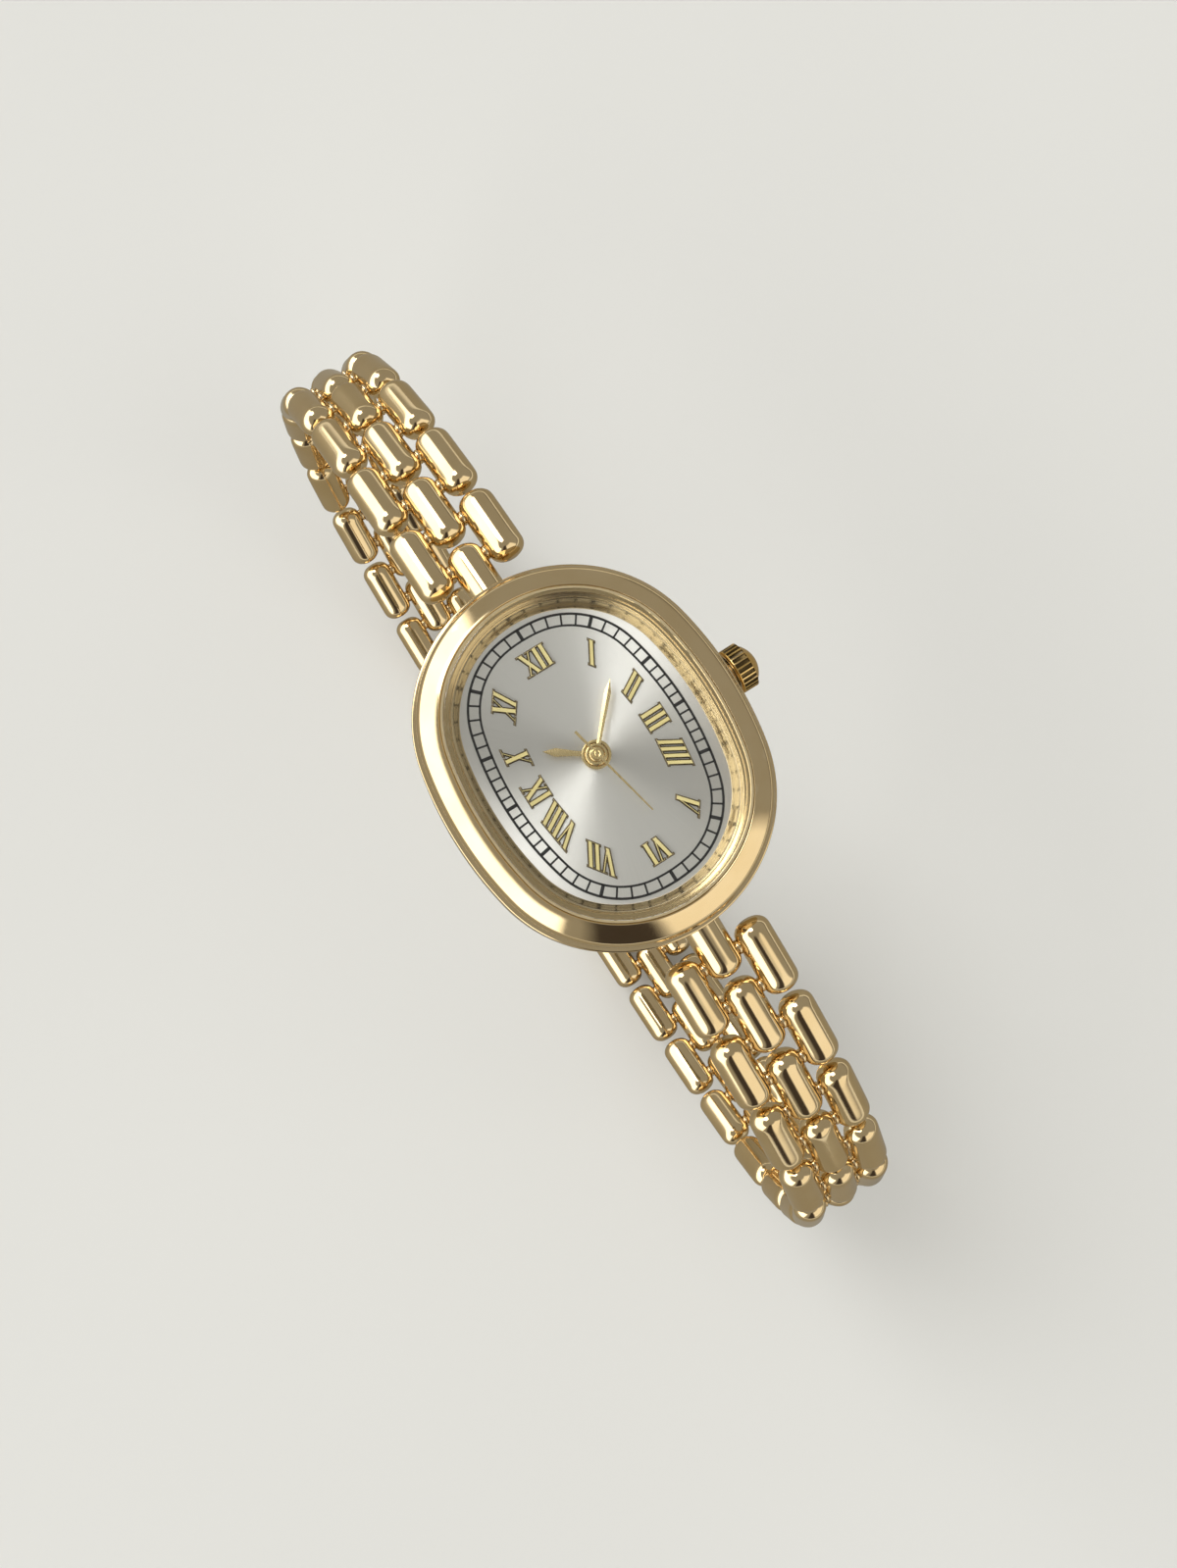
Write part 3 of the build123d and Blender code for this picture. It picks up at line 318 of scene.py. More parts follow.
def goldMaterial(name):
    finish = goldFinishes[name]
    material, tree, shader = startMaterial(name)
    shader.inputs["Metallic"].default_value = finish.get("metal", 1.0)
    clouds = noise(tree, objectPlace(tree), plating["clouds"])
    tone = twoTones(tree, spread(tree, clouds, 0, 1), *finish["tones"])
    # wiping marks along the bracelet
    hairlines = noise(tree, objectPlace(tree, plating["hairStretch"]), plating["hairlines"], 2)
    roughness = spread(tree, hairlines, *finish["shine"])
    # painted shade: the wall down to the dial gets a darker tone for the shade in the recess; its satin
    # roughness is real
    if "innerWall" in finish:  # the wall down to the dial is satin and deeper in colour
        x, y, _ = apart(tree, objectPlace(tree))
        reach = ovalReach(tree, x, y, *finish["innerWall"])
        tone = twoTones(tree, spread(tree, reach, 1, 0, *plating["wallEdge"]), tone, finish["wallShadeTone"])
        satin = spread(tree, reach, finish["wallShine"], 0, *plating["wallEdge"])
        roughness = math(tree, "MAXIMUM", roughness, satin)
    # plating rubbed paler along the edges
    edge = node(tree, "ShaderNodeNewGeometry").outputs["Pointiness"]
    rubbed = spread(tree, edge, 0, plating["rubbedShare"], *plating["rubbedEdge"])
    tree.links.new(twoTones(tree, rubbed, tone, plating["rubbedTone"]), shader.inputs["Base Color"])
    tree.links.new(roughness, shader.inputs["Roughness"])
    ripple = noise(tree, objectPlace(tree), plating["ripple"], 2)
    scratched = math(tree, "ADD", ripple, math(tree, "MULTIPLY", hairlines, plating["hairShare"]))
    bump(tree, shader, scratched, finish["depth"])
    return material


plainFinishes = {
    "backSteel": {"tones": ((0.62, 0.62, 0.61), (0.52, 0.52, 0.51)), "metal": 1, "shine": (0.22, 0.38),
                  "grain": (1, 30, 1), "scale": 500, "depth": 0.004},
    "movementBrass": {"tones": ((0.78, 0.62, 0.34), (0.70, 0.54, 0.27)), "metal": 1, "shine": (0.28, 0.42),
                      "grain": (1, 12, 1), "scale": 700, "depth": 0.004},
    "wheelBrass": {"tones": ((0.84, 0.66, 0.34), (0.76, 0.57, 0.27)), "metal": 1, "shine": (0.20, 0.34),
                   "grain": (1, 1, 1), "scale": 1500, "depth": 0.002},
    "movementSteel": {"tones": ((0.66, 0.66, 0.66), (0.56, 0.56, 0.57)), "metal": 1, "shine": (0.22, 0.36),
                      "grain": (18, 1, 1), "scale": 600, "depth": 0.003},
    "batterySteel": {"tones": ((0.74, 0.74, 0.73), (0.66, 0.66, 0.65)), "metal": 1, "shine": (0.16, 0.30),
                     "grain": (1, 1, 1), "scale": 900, "depth": 0.002},
    "magnetNickel": {"tones": ((0.70, 0.69, 0.66), (0.60, 0.60, 0.58)), "metal": 1, "shine": (0.14, 0.28),
                     "grain": (1, 1, 1), "scale": 1200, "depth": 0.002},
    "gasketRubber": {"tones": ((0.030, 0.027, 0.025), (0.045, 0.042, 0.040)), "metal": 0, "shine": (0.5, 0.7),
                     "grain": (1, 1, 1), "scale": 2500, "depth": 0.004},
    # the white nylon gasket is painted a dull brownish gold: painted reflection of the gold bezel, and
    # painted shade at the crystal's edge
    "gasketReflectionAndShade": {"tones": ((0.46, 0.37, 0.21), (0.42, 0.33, 0.18)), "metal": 0, "shine": (0.35, 0.50),
                    "grain": (1, 1, 1), "scale": 2500, "depth": 0.002},
    "holderPlastic": {"tones": ((0.80, 0.80, 0.76), (0.74, 0.74, 0.70)), "metal": 0, "shine": (0.42, 0.58),
                      "grain": (1, 1, 1), "scale": 1400, "depth": 0.004},
    "boardGreen": {"tones": ((0.02, 0.16, 0.06), (0.03, 0.24, 0.10)), "metal": 0, "shine": (0.25, 0.40),
                   "grain": (1, 4, 1), "scale": 900, "depth": 0.006},
    "coilCopper": {"tones": ((0.62, 0.25, 0.10), (0.74, 0.34, 0.15)), "metal": 1, "shine": (0.22, 0.36),
                   "grain": (26, 1, 1), "scale": 520, "depth": 0.010},
    "trackInk": {"tones": ((0.006, 0.006, 0.007), (0.014, 0.014, 0.015)), "metal": 0, "shine": (0.35, 0.55),
                 "grain": (1, 1, 1), "scale": 4000, "depth": 0.001},
}


def plainMaterial(name):
    finish = plainFinishes[name]
    material, tree, shader = startMaterial(name)
    shader.inputs["Metallic"].default_value = finish["metal"]
    grain = noise(tree, objectPlace(tree, finish["grain"]), finish["scale"])
    tree.links.new(twoTones(tree, spread(tree, grain, 0, 1), *finish["tones"]), shader.inputs["Base Color"])
    tree.links.new(spread(tree, grain, *finish["shine"]), shader.inputs["Roughness"])
    bump(tree, shader, grain, finish["depth"])
    return material


dialFinish = {
    "silver": (0.93, 0.93, 0.90), "shade": (0.86, 0.86, 0.83), "margin": (0.93, 0.93, 0.91), "metal": 0.92,
    "roughness": (0.36, 0.42), "anisotropy": 0.85, "rays": 190, "rayDepth": 0.006, "rayStrength": 0.35,
    "oval": (6.62, 9.29, 2.45), "ovalEdge": (0.99, 1.03),
}


def dialMaterial():
    finish = dialFinish
    material, tree, shader = startMaterial("dialSilver")
    x, y, _ = apart(tree, objectPlace(tree))
    # rays: noise that changes with the angle round the centre and hardly with the distance
    angle = math(tree, "ARCTAN2", y, x)
    ring = node(tree, "ShaderNodeCombineXYZ")
    tree.links.new(math(tree, "COSINE", angle), ring.inputs["X"])
    tree.links.new(math(tree, "SINE", angle), ring.inputs["Y"])
    rays = noise(tree, ring.outputs["Vector"], finish["rays"], 4, 0.7)
    # beyond the outer line of the minute track the dial is plain
    outside = spread(tree, ovalReach(tree, x, y, *finish["oval"]), 0, 1, *finish["ovalEdge"])
    tone = twoTones(tree, spread(tree, rays, 0, 1), finish["silver"], finish["shade"])
    tree.links.new(twoTones(tree, outside, tone, finish["margin"]), shader.inputs["Base Color"])
    tree.links.new(spread(tree, outside, *finish["roughness"], 0, 1), shader.inputs["Roughness"])
    shader.inputs["Metallic"].default_value = finish["metal"]
    shader.inputs["Anisotropic"].default_value = finish["anisotropy"]
    tangent = node(tree, "ShaderNodeTangent", direction_type="RADIAL", axis="Z")
    tree.links.new(tangent.outputs["Tangent"], shader.inputs["Tangent"])
    bump(tree, shader, rays, finish["rayDepth"], finish["rayStrength"])
    return material


glassFinish = {"tint": (0.99, 0.995, 0.99), "clearTint": (0.985, 0.985, 0.98), "bend": 1.5,
               "wiping": 260, "shine": (0.0, 0.012)}


def glassMaterial():
    finish = glassFinish
    material, tree, shader = startMaterial("crystalGlass")
    shader.inputs["Base Color"].default_value = (*finish["tint"], 1)
    shader.inputs["Transmission Weight"].default_value = 1.0
    shader.inputs["IOR"].default_value = finish["bend"]
    wiping = noise(tree, objectPlace(tree), finish["wiping"], 2)
    tree.links.new(spread(tree, wiping, *finish["shine"]), shader.inputs["Roughness"])
    clear = node(tree, "ShaderNodeBsdfTransparent")
    clear.inputs["Color"].default_value = (*finish["clearTint"], 1)
    # light that only passes through isn't bent, which keeps the dial free of grain
    path = node(tree, "ShaderNodeLightPath")
    straight = path.outputs["Is Shadow Ray"]
    for kind in ("Is Diffuse Ray", "Is Glossy Ray"):
        straight = math(tree, "MAXIMUM", straight, path.outputs[kind])
    mix = node(tree, "ShaderNodeMixShader")
    tree.links.new(straight, mix.inputs[0])
    tree.links.new(shader.outputs["BSDF"], mix.inputs[1])
    tree.links.new(clear.outputs["BSDF"], mix.inputs[2])
    tree.links.new(mix.outputs["Shader"], tree.nodes["Material Output"].inputs["Surface"])
    return material


gold = {name: goldMaterial(name) for name in goldFinishes}
plain = {name: plainMaterial(name) for name in plainFinishes}
dialSilver = dialMaterial()
crystalGlass = glassMaterial()
print("materials made:", len(gold) + len(plain) + 2)


# Ovals: the outline is a chain of tangent arcs, so a profile is spun about each arc's centre in turn

caseOval = {
    "halfWidth": 10.15, "halfLength": 12.5, "sideRadius": 23.7, "shoulderRadius": 9.4, "endRadius": 10.1,
}
trackOval = {
    "halfWidth": 6.57, "halfLength": 9.24, "sideRadius": 19.9, "shoulderRadius": 5.6, "endRadius": 9.5,
}


def ovalArcs(oval):  # centre, turn and radius of each arc, anticlockwise from 3 o'clock
    sideR, shoulderR, endR = oval["sideRadius"], oval["shoulderRadius"], oval["endRadius"]
    sideX = oval["halfWidth"] - sideR
    endY = oval["halfLength"] - endR
    span = hypot(sideX, endY)
    along = ((sideR - shoulderR) ** 2 - (endR - shoulderR) ** 2 + span**2) / (2 * span)
    across = sqrt((sideR - shoulderR) ** 2 - along**2)
    run = (-sideX / span, endY / span)
    shoulderX = sideX + along * run[0] - across * run[1]
    shoulderY = along * run[1] + across * run[0]
    first = atan2(shoulderY, shoulderX - sideX)
    second = atan2(shoulderY - endY, shoulderX)
    shoulderTurn, endTurn = second - first, pi - 2 * second
    return [
        ((sideX, 0), first, sideR),
        ((shoulderX, shoulderY), shoulderTurn, shoulderR),
        ((0, endY), endTurn, endR),
        ((-shoulderX, shoulderY), shoulderTurn, shoulderR),
        ((-sideX, 0), 2 * first, sideR),
        ((-shoulderX, -shoulderY), shoulderTurn, shoulderR),
        ((0, -endY), endTurn, endR),
        ((shoulderX, -shoulderY), shoulderTurn, shoulderR),
        ((sideX, 0), first, sideR),
    ]


def spunOval(name, oval, corners, closed=True, step=0.3):
    # corners: (inset from the oval, level, rounding, segments)
    places = [point(oval["halfWidth"] - inset, 0, level) for inset, level, rounding, segments in corners]
    bpy.ops.object.select_all(action="DESELECT")
    bpy.ops.mesh.primitive_plane_add(size=2 * near * mm, location=places[0])
    piece = settle(name)
    edit(piece)
    selectWhole()
    bpy.ops.mesh.merge(type="CENTER")
    for before, after in zip(corners, corners[1:]):
        move = point(before[0] - after[0], 0, after[1] - before[1])
        bpy.ops.mesh.extrude_region_move(TRANSFORM_OT_translate={"value": move})
    if closed:
        ends = (places[0], places[-1])
        pick(piece, "VERT", lambda v: min((v.co - end).length for end in ends) < near * mm)
        bpy.ops.mesh.edge_face_add()
    for spot, (inset, level, rounding, segments) in zip(places, corners):
        if rounding > 0:
            pick(piece, "VERT", lambda v: (v.co - spot).length < near * mm)
            bpy.ops.mesh.bevel(affect="VERTICES", offset=rounding * mm, segments=segments)
    selectWhole()
    for centre, turn, radius in ovalArcs(oval):
        steps = max(4, round(turn * radius / step))
        bpy.ops.mesh.spin(steps=steps, angle=-turn, center=point(*centre, 0), axis=(0, 0, 1))
    leave()
    closeMesh(piece)
    return piece


def fillFlat(piece, level):  # closes the flat opening at a level
    def onRim(edge):
        return len(edge.link_faces) == 1 and all(abs(v.co.z - level * mm) < near * mm for v in edge.verts)
    edit(piece)
    pick(piece, "EDGE", onRim)
    bpy.ops.mesh.edge_face_add()
    leave()


def spunPlate(name, oval, corners):  # the outline's first and last corners stand on the flat faces
    plate = spunOval(name, oval, corners, closed=False)
    fillFlat(plate, corners[0][1])
    fillFlat(plate, corners[-1][1])
    closeMesh(plate)
    return plate


# Bezel: rounded corner and a gently sloped band outside, then the crystal's seat and the stepped inner wall
bezelSizes = {
    "corners": [
        (0.30, 0.25, 0.04, 2), (0.30, 1.212, 0.355, 9), (1.11, 1.758, 0.57, 9), (1.70, 1.95, 0.04, 3),
        (1.80, 1.85, 0.03, 2), (1.80, 1.44, 0, 1),
        (2.14, 1.44, 0.03, 2), (2.14, 1.19, 0.03, 2), (2.34, 1.15, 0.05, 3), (2.38, 1.00, 0.03, 2),
        (2.46, 0.98, 0.03, 2), (2.56, 0.62, 0.25, 6), (2.93, 0.15, 0.03, 2),
        (2.95, 0.0, 0, 1), (2.25, 0.0, 0, 1), (2.25, 0.25, 0, 1),
    ],
    "step": 0.24,
}


def makeBezel():
    bezel = spunOval("bezelRing", caseOval, bezelSizes["corners"], step=bezelSizes["step"])
    bezel.data.transform(lift)
    smooth(bezel, 40)
    finishPiece(bezel, gold["bezelGold"], "head", "gold_case", "bezel")


# Crystal: flat glass with a bevelled edge
crystalSizes = {"inset": 1.945, "rim": 0.4, "low": 1.445, "top": 2.09, "bevel": 0.15}


def makeCrystal():
    s = crystalSizes
    outer, inner = s["inset"], s["inset"] + s["rim"]
    crystal = spunPlate("crystalPane", caseOval, [
        (inner, s["low"], 0, 1), (outer, s["low"], 0, 1),
        (outer, s["top"], s["bevel"], 3), (inner, s["top"], 0, 1),
    ])
    crystal.data.transform(lift)
    smooth(crystal, 30)
    finishPiece(crystal, crystalGlass, "head", "crystal_glass", "crystal")


makeBezel()
makeCrystal()
print("bezel and crystal done")


# Bracelet loop: the pins lie on this oval, half a pitch apart, seen from the side
loopSizes = {
    "halfWidth": 35.1116, "heightShare": 0.596, "power": 2.5, "pitch": 5.694,
    "stubPinY": 14.8, "rows": 12, "thickness": 2.2,
}
loopSearch = {"reach": 0.7, "halvings": 48}  # how far round the next pin is looked for, and how closely


def loopPoint(turn):
    s = loopSizes
    y = s["halfWidth"] * copysign(abs(cos(turn)) ** (2 / s["power"]), cos(turn))
    rise = copysign(abs(sin(turn)) ** (2 / s["power"]), sin(turn))
    return (y, s["thickness"] / 2 + s["halfWidth"] * s["heightShare"] * (1 + rise))


def loopPins():
    turn = acos((loopSizes["stubPinY"] / loopSizes["halfWidth"]) ** (loopSizes["power"] / 2))
    found = [loopPoint(turn)]
    for _ in range(2 * loopSizes["rows"] + 1):
        tooFar, notFar = turn - loopSearch["reach"], turn
        for _ in range(loopSearch["halvings"]):
            middle = (tooFar + notFar) / 2
            if dist(found[-1], loopPoint(middle)) > loopSizes["pitch"] / 2:
                tooFar = middle
            else:
                notFar = middle
        turn = (tooFar + notFar) / 2
        found.append(loopPoint(turn))
    return found


pins = loopPins()


def onLoop(index):  # matrix of the link between pin index - 1 and pin index
    start, end = pins[index - 1], pins[index]
    slope = atan2(end[1] - start[1], end[0] - start[0])
    middle = point(0, (start[0] + end[0]) / 2, (start[1] + end[1]) / 2)
    return Matrix.Translation(middle) @ Matrix.Rotation(slope, 4, "X")


# Link: a block with cut-back edges, smoothed into a pillow with a crowned top and short round ends
linkSizes = {
    "width": 2.45, "length": 5.274, "thickness": loopSizes["thickness"], "longCut": 0.72, "endCut": 0.55,
    "flatHalf": 1.55, "smoothing": 3, "columnPitch": 2.6,
}


def makeLink():
    s = linkSizes
    size = (s["width"], s["length"], s["thickness"])
    bpy.ops.object.select_all(action="DESELECT")
    bpy.ops.mesh.primitive_cube_add(size=1, location=(0, 0, 0), scale=[side * mm for side in size])
    link = settle("linkPattern")
    edit(link)
    pick(link, "EDGE", edgeRuns(1))
    bpy.ops.mesh.bevel(offset=s["longCut"] * mm, segments=1)
    pick(link, "FACE", lambda face: abs(face.normal.y) > 0.9)
    bpy.ops.mesh.region_to_loop()
    bpy.ops.mesh.bevel(offset=s["endCut"] * mm, segments=1)
    cutLoops(1, (-s["flatHalf"], s["flatHalf"]))
    leave()
    applyModifier(link, "SUBSURF", levels=s["smoothing"], render_levels=s["smoothing"])
    edit(link)
    selectWhole()
    fit = [side * mm / extent for side, extent in zip(size, link.dimensions)]
    bpy.ops.transform.resize(value=fit, center_override=(0, 0, 0))
    leave()
    smooth(link, 60)
    return link


# Pin: a bar with a collar in each gap between the columns
pinSizes = {
    "radius": 0.35, "halfLength": 3.025, "flats": 24, "edge": 0.05,
    "collarStart": 1.2, "collarEnd": 1.4, "collarRise": 0.14,
}


def makePin():
    s = pinSizes
    pin = addRod("pinPattern", s["flats"], s["radius"], 2 * s["halfLength"], turn=alongX)
    edit(pin)
    cutLoops(0, (-s["collarEnd"], -s["collarStart"], s["collarStart"], s["collarEnd"]))
    def onCollar(face):
        x = abs(face.calc_center_median().x) / mm
        return s["collarStart"] < x < s["collarEnd"]
    pick(pin, "FACE", onCollar)
    bpy.ops.mesh.extrude_region_shrink_fatten(
        TRANSFORM_OT_shrink_fatten={"value": s["collarRise"] * mm, "use_even_offset": True}
    )
    leave()
    closeMesh(pin)
    breakEdges(pin, s["edge"])
    smooth(pin, 40)
    return pin


link, pin = makeLink(), makePin()


def linkPair(matrix):  # the two outer links
    step = linkSizes["columnPitch"] * mm
    return [copyOf(link, matrix @ Matrix.Translation((side * step, 0, 0))) for side in (-1, 1)]


def pinAt(matrix, index):
    return copyOf(pin, matrix @ Matrix.Translation(point(0, pins[index][0], pins[index][1])))


def makeRow(side, row):  # two outer links, the middle link half a pitch further on, and two pins
    turned, outer = sides[side], 2 * row - 1
    members = linkPair(turned @ onLoop(outer))
    members.append(copyOf(link, turned @ onLoop(outer + 1)))
    members += [pinAt(turned, outer - 1), pinAt(turned, outer)]
    rowPiece = joined(f"{side}Row{row:02d}", members)
    body, nodeName = f"{side}_row_{row:02d}", f"{side}_link_row_{row:02d}"
    finishPiece(rowPiece, gold["linkGold"], body, "gold_links", nodeName)


for side in sides:
    for row in range(1, loopSizes["rows"] + 1):
        makeRow(side, row)
print("bracelet rows done")


# Case band, drilled for the stem, with the two fixed links that carry the first pins
bandSizes = {
    "corners": [(0.0, 0.25, 0.10, 3), (0.0, -3.2, 0.5, 6), (2.2, -3.2, 0, 1), (2.2, 0.25, 0, 1)],
    "step": 0.24, "stemLevel": -1.5, "stemHole": 0.86, "drillInset": 1, "drillLength": 4, "drillFlats": 48,
}


def fixedLinkPlace():  # the fixed link follows the slope of the loop at the first pin
    s = loopSizes
    share = s["stubPinY"] / s["halfWidth"]
    rise = (pins[0][1] - s["thickness"] / 2) / (s["halfWidth"] * s["heightShare"]) - 1
    slope = atan2(-s["heightShare"] * share ** (s["power"] - 1) / rise ** (s["power"] - 1), 1)
    quarter = s["pitch"] / 4
    middle = point(0, pins[0][0] - quarter * cos(slope), pins[0][1] - quarter * sin(slope))
    return Matrix.Translation(middle) @ Matrix.Rotation(slope, 4, "X")


def makeBand():
    s = bandSizes
    band = spunOval("caseBand", caseOval, s["corners"], step=s["step"])
    drillPlace = (caseOval["halfWidth"] - s["drillInset"], 0, s["stemLevel"])
    cutAway(band, addRod("stemDrill", s["drillFlats"], s["stemHole"], s["drillLength"], drillPlace, alongX))
    band.data.transform(lift)
    smooth(band, 35)
    fixedLinks = [copyOf(link, turned @ fixedLinkPlace()) for turned in sides.values()]
    case = joined("caseBand", [band, *fixedLinks])
    finishPiece(case, gold["bezelGold"], "head", "gold_case", "case_middle")


# Case back: shallow dish with a turned ring round its middle
backLow, backTop = -4.30, -3.21
backSizes = {
    "corners": [
        (3.2, backLow, 0, 1), (2.75, backLow, 0.04, 2), (2.70, -4.25, 0.03, 2), (2.45, -4.25, 0.03, 2),
        (2.40, backLow, 0.04, 2), (1.30, backLow, 0.06, 3), (0.80, -3.80, 0.06, 3),
        (0.80, backTop, 0, 1), (3.2, backTop, 0, 1),
    ],
}


def makeBack():
    back = spunPlate("caseBackPlate", caseOval, backSizes["corners"])
    back.data.transform(lift)
    smooth(back, 35)
    finishPiece(back, plain["backSteel"], "head", "steel_back", "case_back")


# Clasp halves: plate with fine grooves by the seam, magnet pockets and a notch for the last middle link,
# then its two hinge links and their pin
claspSizes = {
    "innerY": {"upper": -2.88, "lower": 3.12}, "width": 7.65, "edge": 0.35, "edgeSteps": 5, "fineEdge": 0.04,
    "grooves": (0.9, 1.5), "grooveWidth": 0.22, "grooveDepth": 0.08,
    "notchHalfWidth": 1.375, "notchRoom": 1.4135, "overrun": 1,
    "magnetX": 1.7, "pocketRadius": 0.73, "pocketDepth": 2.03, "pocketFlats": 48,
}


def makeClasp(side):
    s, turned = claspSizes, sides[side]
    lugIndex = 2 * loopSizes["rows"] + 1
    outerY = (pins[lugIndex - 1][0] + pins[lugIndex][0]) / 2
    innerY, thick = s["innerY"][side], loopSizes["thickness"]
    plate = blockBetween("claspPlate", (-s["width"] / 2, innerY, 0), (s["width"] / 2, outerY, thick))
    edit(plate)
    pick(plate, "EDGE", edgeRuns(1))
    bpy.ops.mesh.bevel(offset=s["edge"] * mm, segments=s["edgeSteps"])
    starts = [innerY + y for y in s["grooves"]]
    cutLoops(1, [y + run for y in starts for run in (0, s["grooveWidth"])])
    def inGroove(face):
        y = face.calc_center_median().y / mm
        return abs(face.normal.y) < 0.5 and any(0 < y - start < s["grooveWidth"] for start in starts)
    pick(plate, "FACE", inGroove)
    bpy.ops.mesh.extrude_region_shrink_fatten(TRANSFORM_OT_shrink_fatten={"value": -s["grooveDepth"] * mm})
    leave()
    closeMesh(plate)
    half, notchY, over = s["notchHalfWidth"], pins[lugIndex - 1][0] - s["notchRoom"], s["overrun"]
    cutAway(plate, blockBetween("notch", (-half, notchY, -over), (half, outerY + over, thick + over)))
    for x in (-s["magnetX"], s["magnetX"]):
        place, length = (x, innerY, thick / 2), 2 * s["pocketDepth"]
        cutAway(plate, addRod("magnetPocket", s["pocketFlats"], s["pocketRadius"], length, place, alongY))
    breakEdges(plate, s["fineEdge"])
    plate.data.transform(turned)
    smooth(plate, 35)
    members = [plate, *linkPair(turned @ onLoop(lugIndex)), pinAt(turned, lugIndex - 1)]
    clasp = joined(f"{side}ClaspHalf", members)
    finishPiece(clasp, gold["linkGold"], f"{side}_clasp", "gold_links", f"{side}_clasp_half")


makeBand()
makeBack()
for side in sides:
    makeClasp(side)
remove(link, pin)
print("case, back and clasp done")


# Crown: short fluted barrel with a smooth domed end and a recess over its tube
crownSizes = {
    "radius": 1.55, "start": 10.45, "end": 11.55, "level": bandSizes["stemLevel"],
    "footEdge": 0.12, "footSteps": 3, "fineEdge": 0.02,
    "domeFoot": 1.42, "domeRise": 0.7, "domeSteps": 8, "domeShrink": 0.01,
    "recess": 1.17, "recessDepth": 0.48,
    "ribs": 26, "fluteShare": 0.75, "fluteInset": 0.03, "fluteDepth": 0.13, "fluteMargin": 0.05,
    "outerShare": 0.97, "leastFlat": 0.03,
}


def shapeDome():  # rings of the selected end face are inset and raised along a sphere
    s = crownSizes
    domeRadius = (s["domeFoot"] ** 2 + s["domeRise"] ** 2) / (2 * s["domeRise"])
    fullTurn = asin(s["domeFoot"] / domeRadius)
    reach, rise = s["domeFoot"], 0
    for step in range(s["domeSteps"]):
        turn = fullTurn * (1 - step / s["domeSteps"])
        nextReach = domeRadius * sin(turn) - s["domeShrink"]
        nextRise = s["domeRise"] - domeRadius * (1 - cos(turn))
        bpy.ops.mesh.inset(thickness=(reach - nextReach) * mm)
        bpy.ops.transform.translate(value=point(nextRise - rise, 0, 0))
        reach, rise = nextReach, nextRise


def inFlute(face):  # three out of every four flats of the barrel
    s = crownSizes
    place = face.calc_center_median()
    turn = degrees(atan2(place.z / mm - s["level"], place.y / mm)) % (360 / s["ribs"])
    outside = hypot(place.y / mm, place.z / mm - s["level"]) > s["radius"] * s["outerShare"]
    straight = abs(face.normal.x) < 0.05 and face.calc_area() > s["leastFlat"] * mm * mm
    return outside and straight and turn < s["fluteShare"] * 360 / s["ribs"]


def shadedFluteFloor(face):  # the sunk faces of the finished barrel
    s = crownSizes
    reach = hypot(face.center.y / mm, face.center.z / mm - s["level"])
    onBarrel = s["start"] + s["footEdge"] < face.center.x / mm < s["end"] - s["fineEdge"]
    return onBarrel and s["recess"] + s["fluteMargin"] < reach < s["radius"] - s["fluteMargin"]


def makeCrown():
    s = crownSizes
    place = ((s["start"] + s["end"]) / 2, 0, s["level"])
    crown = addRod("crownBarrel", 4 * s["ribs"], s["radius"], s["end"] - s["start"], place, alongX)
    edit(crown)
    pick(crown, "FACE", facing((1, 0, 0)))
    bpy.ops.mesh.inset(thickness=(s["radius"] - s["domeFoot"]) * mm)
    shapeDome()
    pick(crown, "FACE", facing((-1, 0, 0)))
    bpy.ops.mesh.region_to_loop()
    bpy.ops.mesh.bevel(offset=s["footEdge"] * mm, segments=s["footSteps"])
    pick(crown, "FACE", facing((-1, 0, 0), 0.99))
    bpy.ops.mesh.inset(thickness=(s["radius"] - s["footEdge"] - s["recess"]) * mm)
    bpy.ops.mesh.extrude_region_move(TRANSFORM_OT_translate={"value": point(s["recessDepth"], 0, 0)})
    pick(crown, "FACE", inFlute)
    bpy.ops.mesh.inset(thickness=s["fluteInset"] * mm)
    bpy.ops.transform.shrink_fatten(value=-s["fluteDepth"] * mm)
    leave()
    closeMesh(crown)
    breakEdges(crown, s["fineEdge"], 40)
    smooth(crown, 35)
    finishPiece(crown, gold["crownGold"], "crown", "gold_case", "crown")
    # painted shade: the sunk flute floors get the near-black gold, standing in for the shade deep in the
    # grooves
    paintSecond(crown, gold["paintedShadeGold"], shadedFluteFloor)
    crown.data.transform(lift)


# Hands: folded leaf blades on ringed hubs
# stations: (place along the hand, half width)
handSizes = {
    "hourHand": {
        "node": "hour_hand", "body": "hour_hand_group", "level": 0.4, "angle": 304.8,
        "hub": 0.92, "ring": 0.74, "ridge": 0.04,
        "stations": [(0.5, 0.16), (1.4, 0.17), (2.55, 0.27), (3.3, 0.0)],
    },
    "minuteHand": {
        "node": "minute_hand", "body": "minute_hand_group", "level": 0.7, "angle": 42.5,
        "hub": 0.66, "ring": 0.50, "ridge": 0.04,
        "stations": [(0.4, 0.13), (1.8, 0.15), (3.9, 0.21), (4.75, 0.0)],
    },
    "secondHand": {
        "node": "second_hand", "body": "second_hand_group", "level": 1.0, "angle": 167.5,
        "hub": 0.36, "ring": 0.2, "ridge": 0,
        "stations": [(-1.9, 0.085), (0.0, 0.08), (2.6, 0.062), (4.85, 0.045)],
    },
}
handMetal = {
    "hubThickness": 0.14, "hubFlats": 64, "bladeThickness": 0.05, "pointHalf": 0.012, "hubEdge": 0.025,
    "groove": (0.05, -0.05), "boss": (0.03, 0.04), "paintedShadeTilt": 0.6,
}


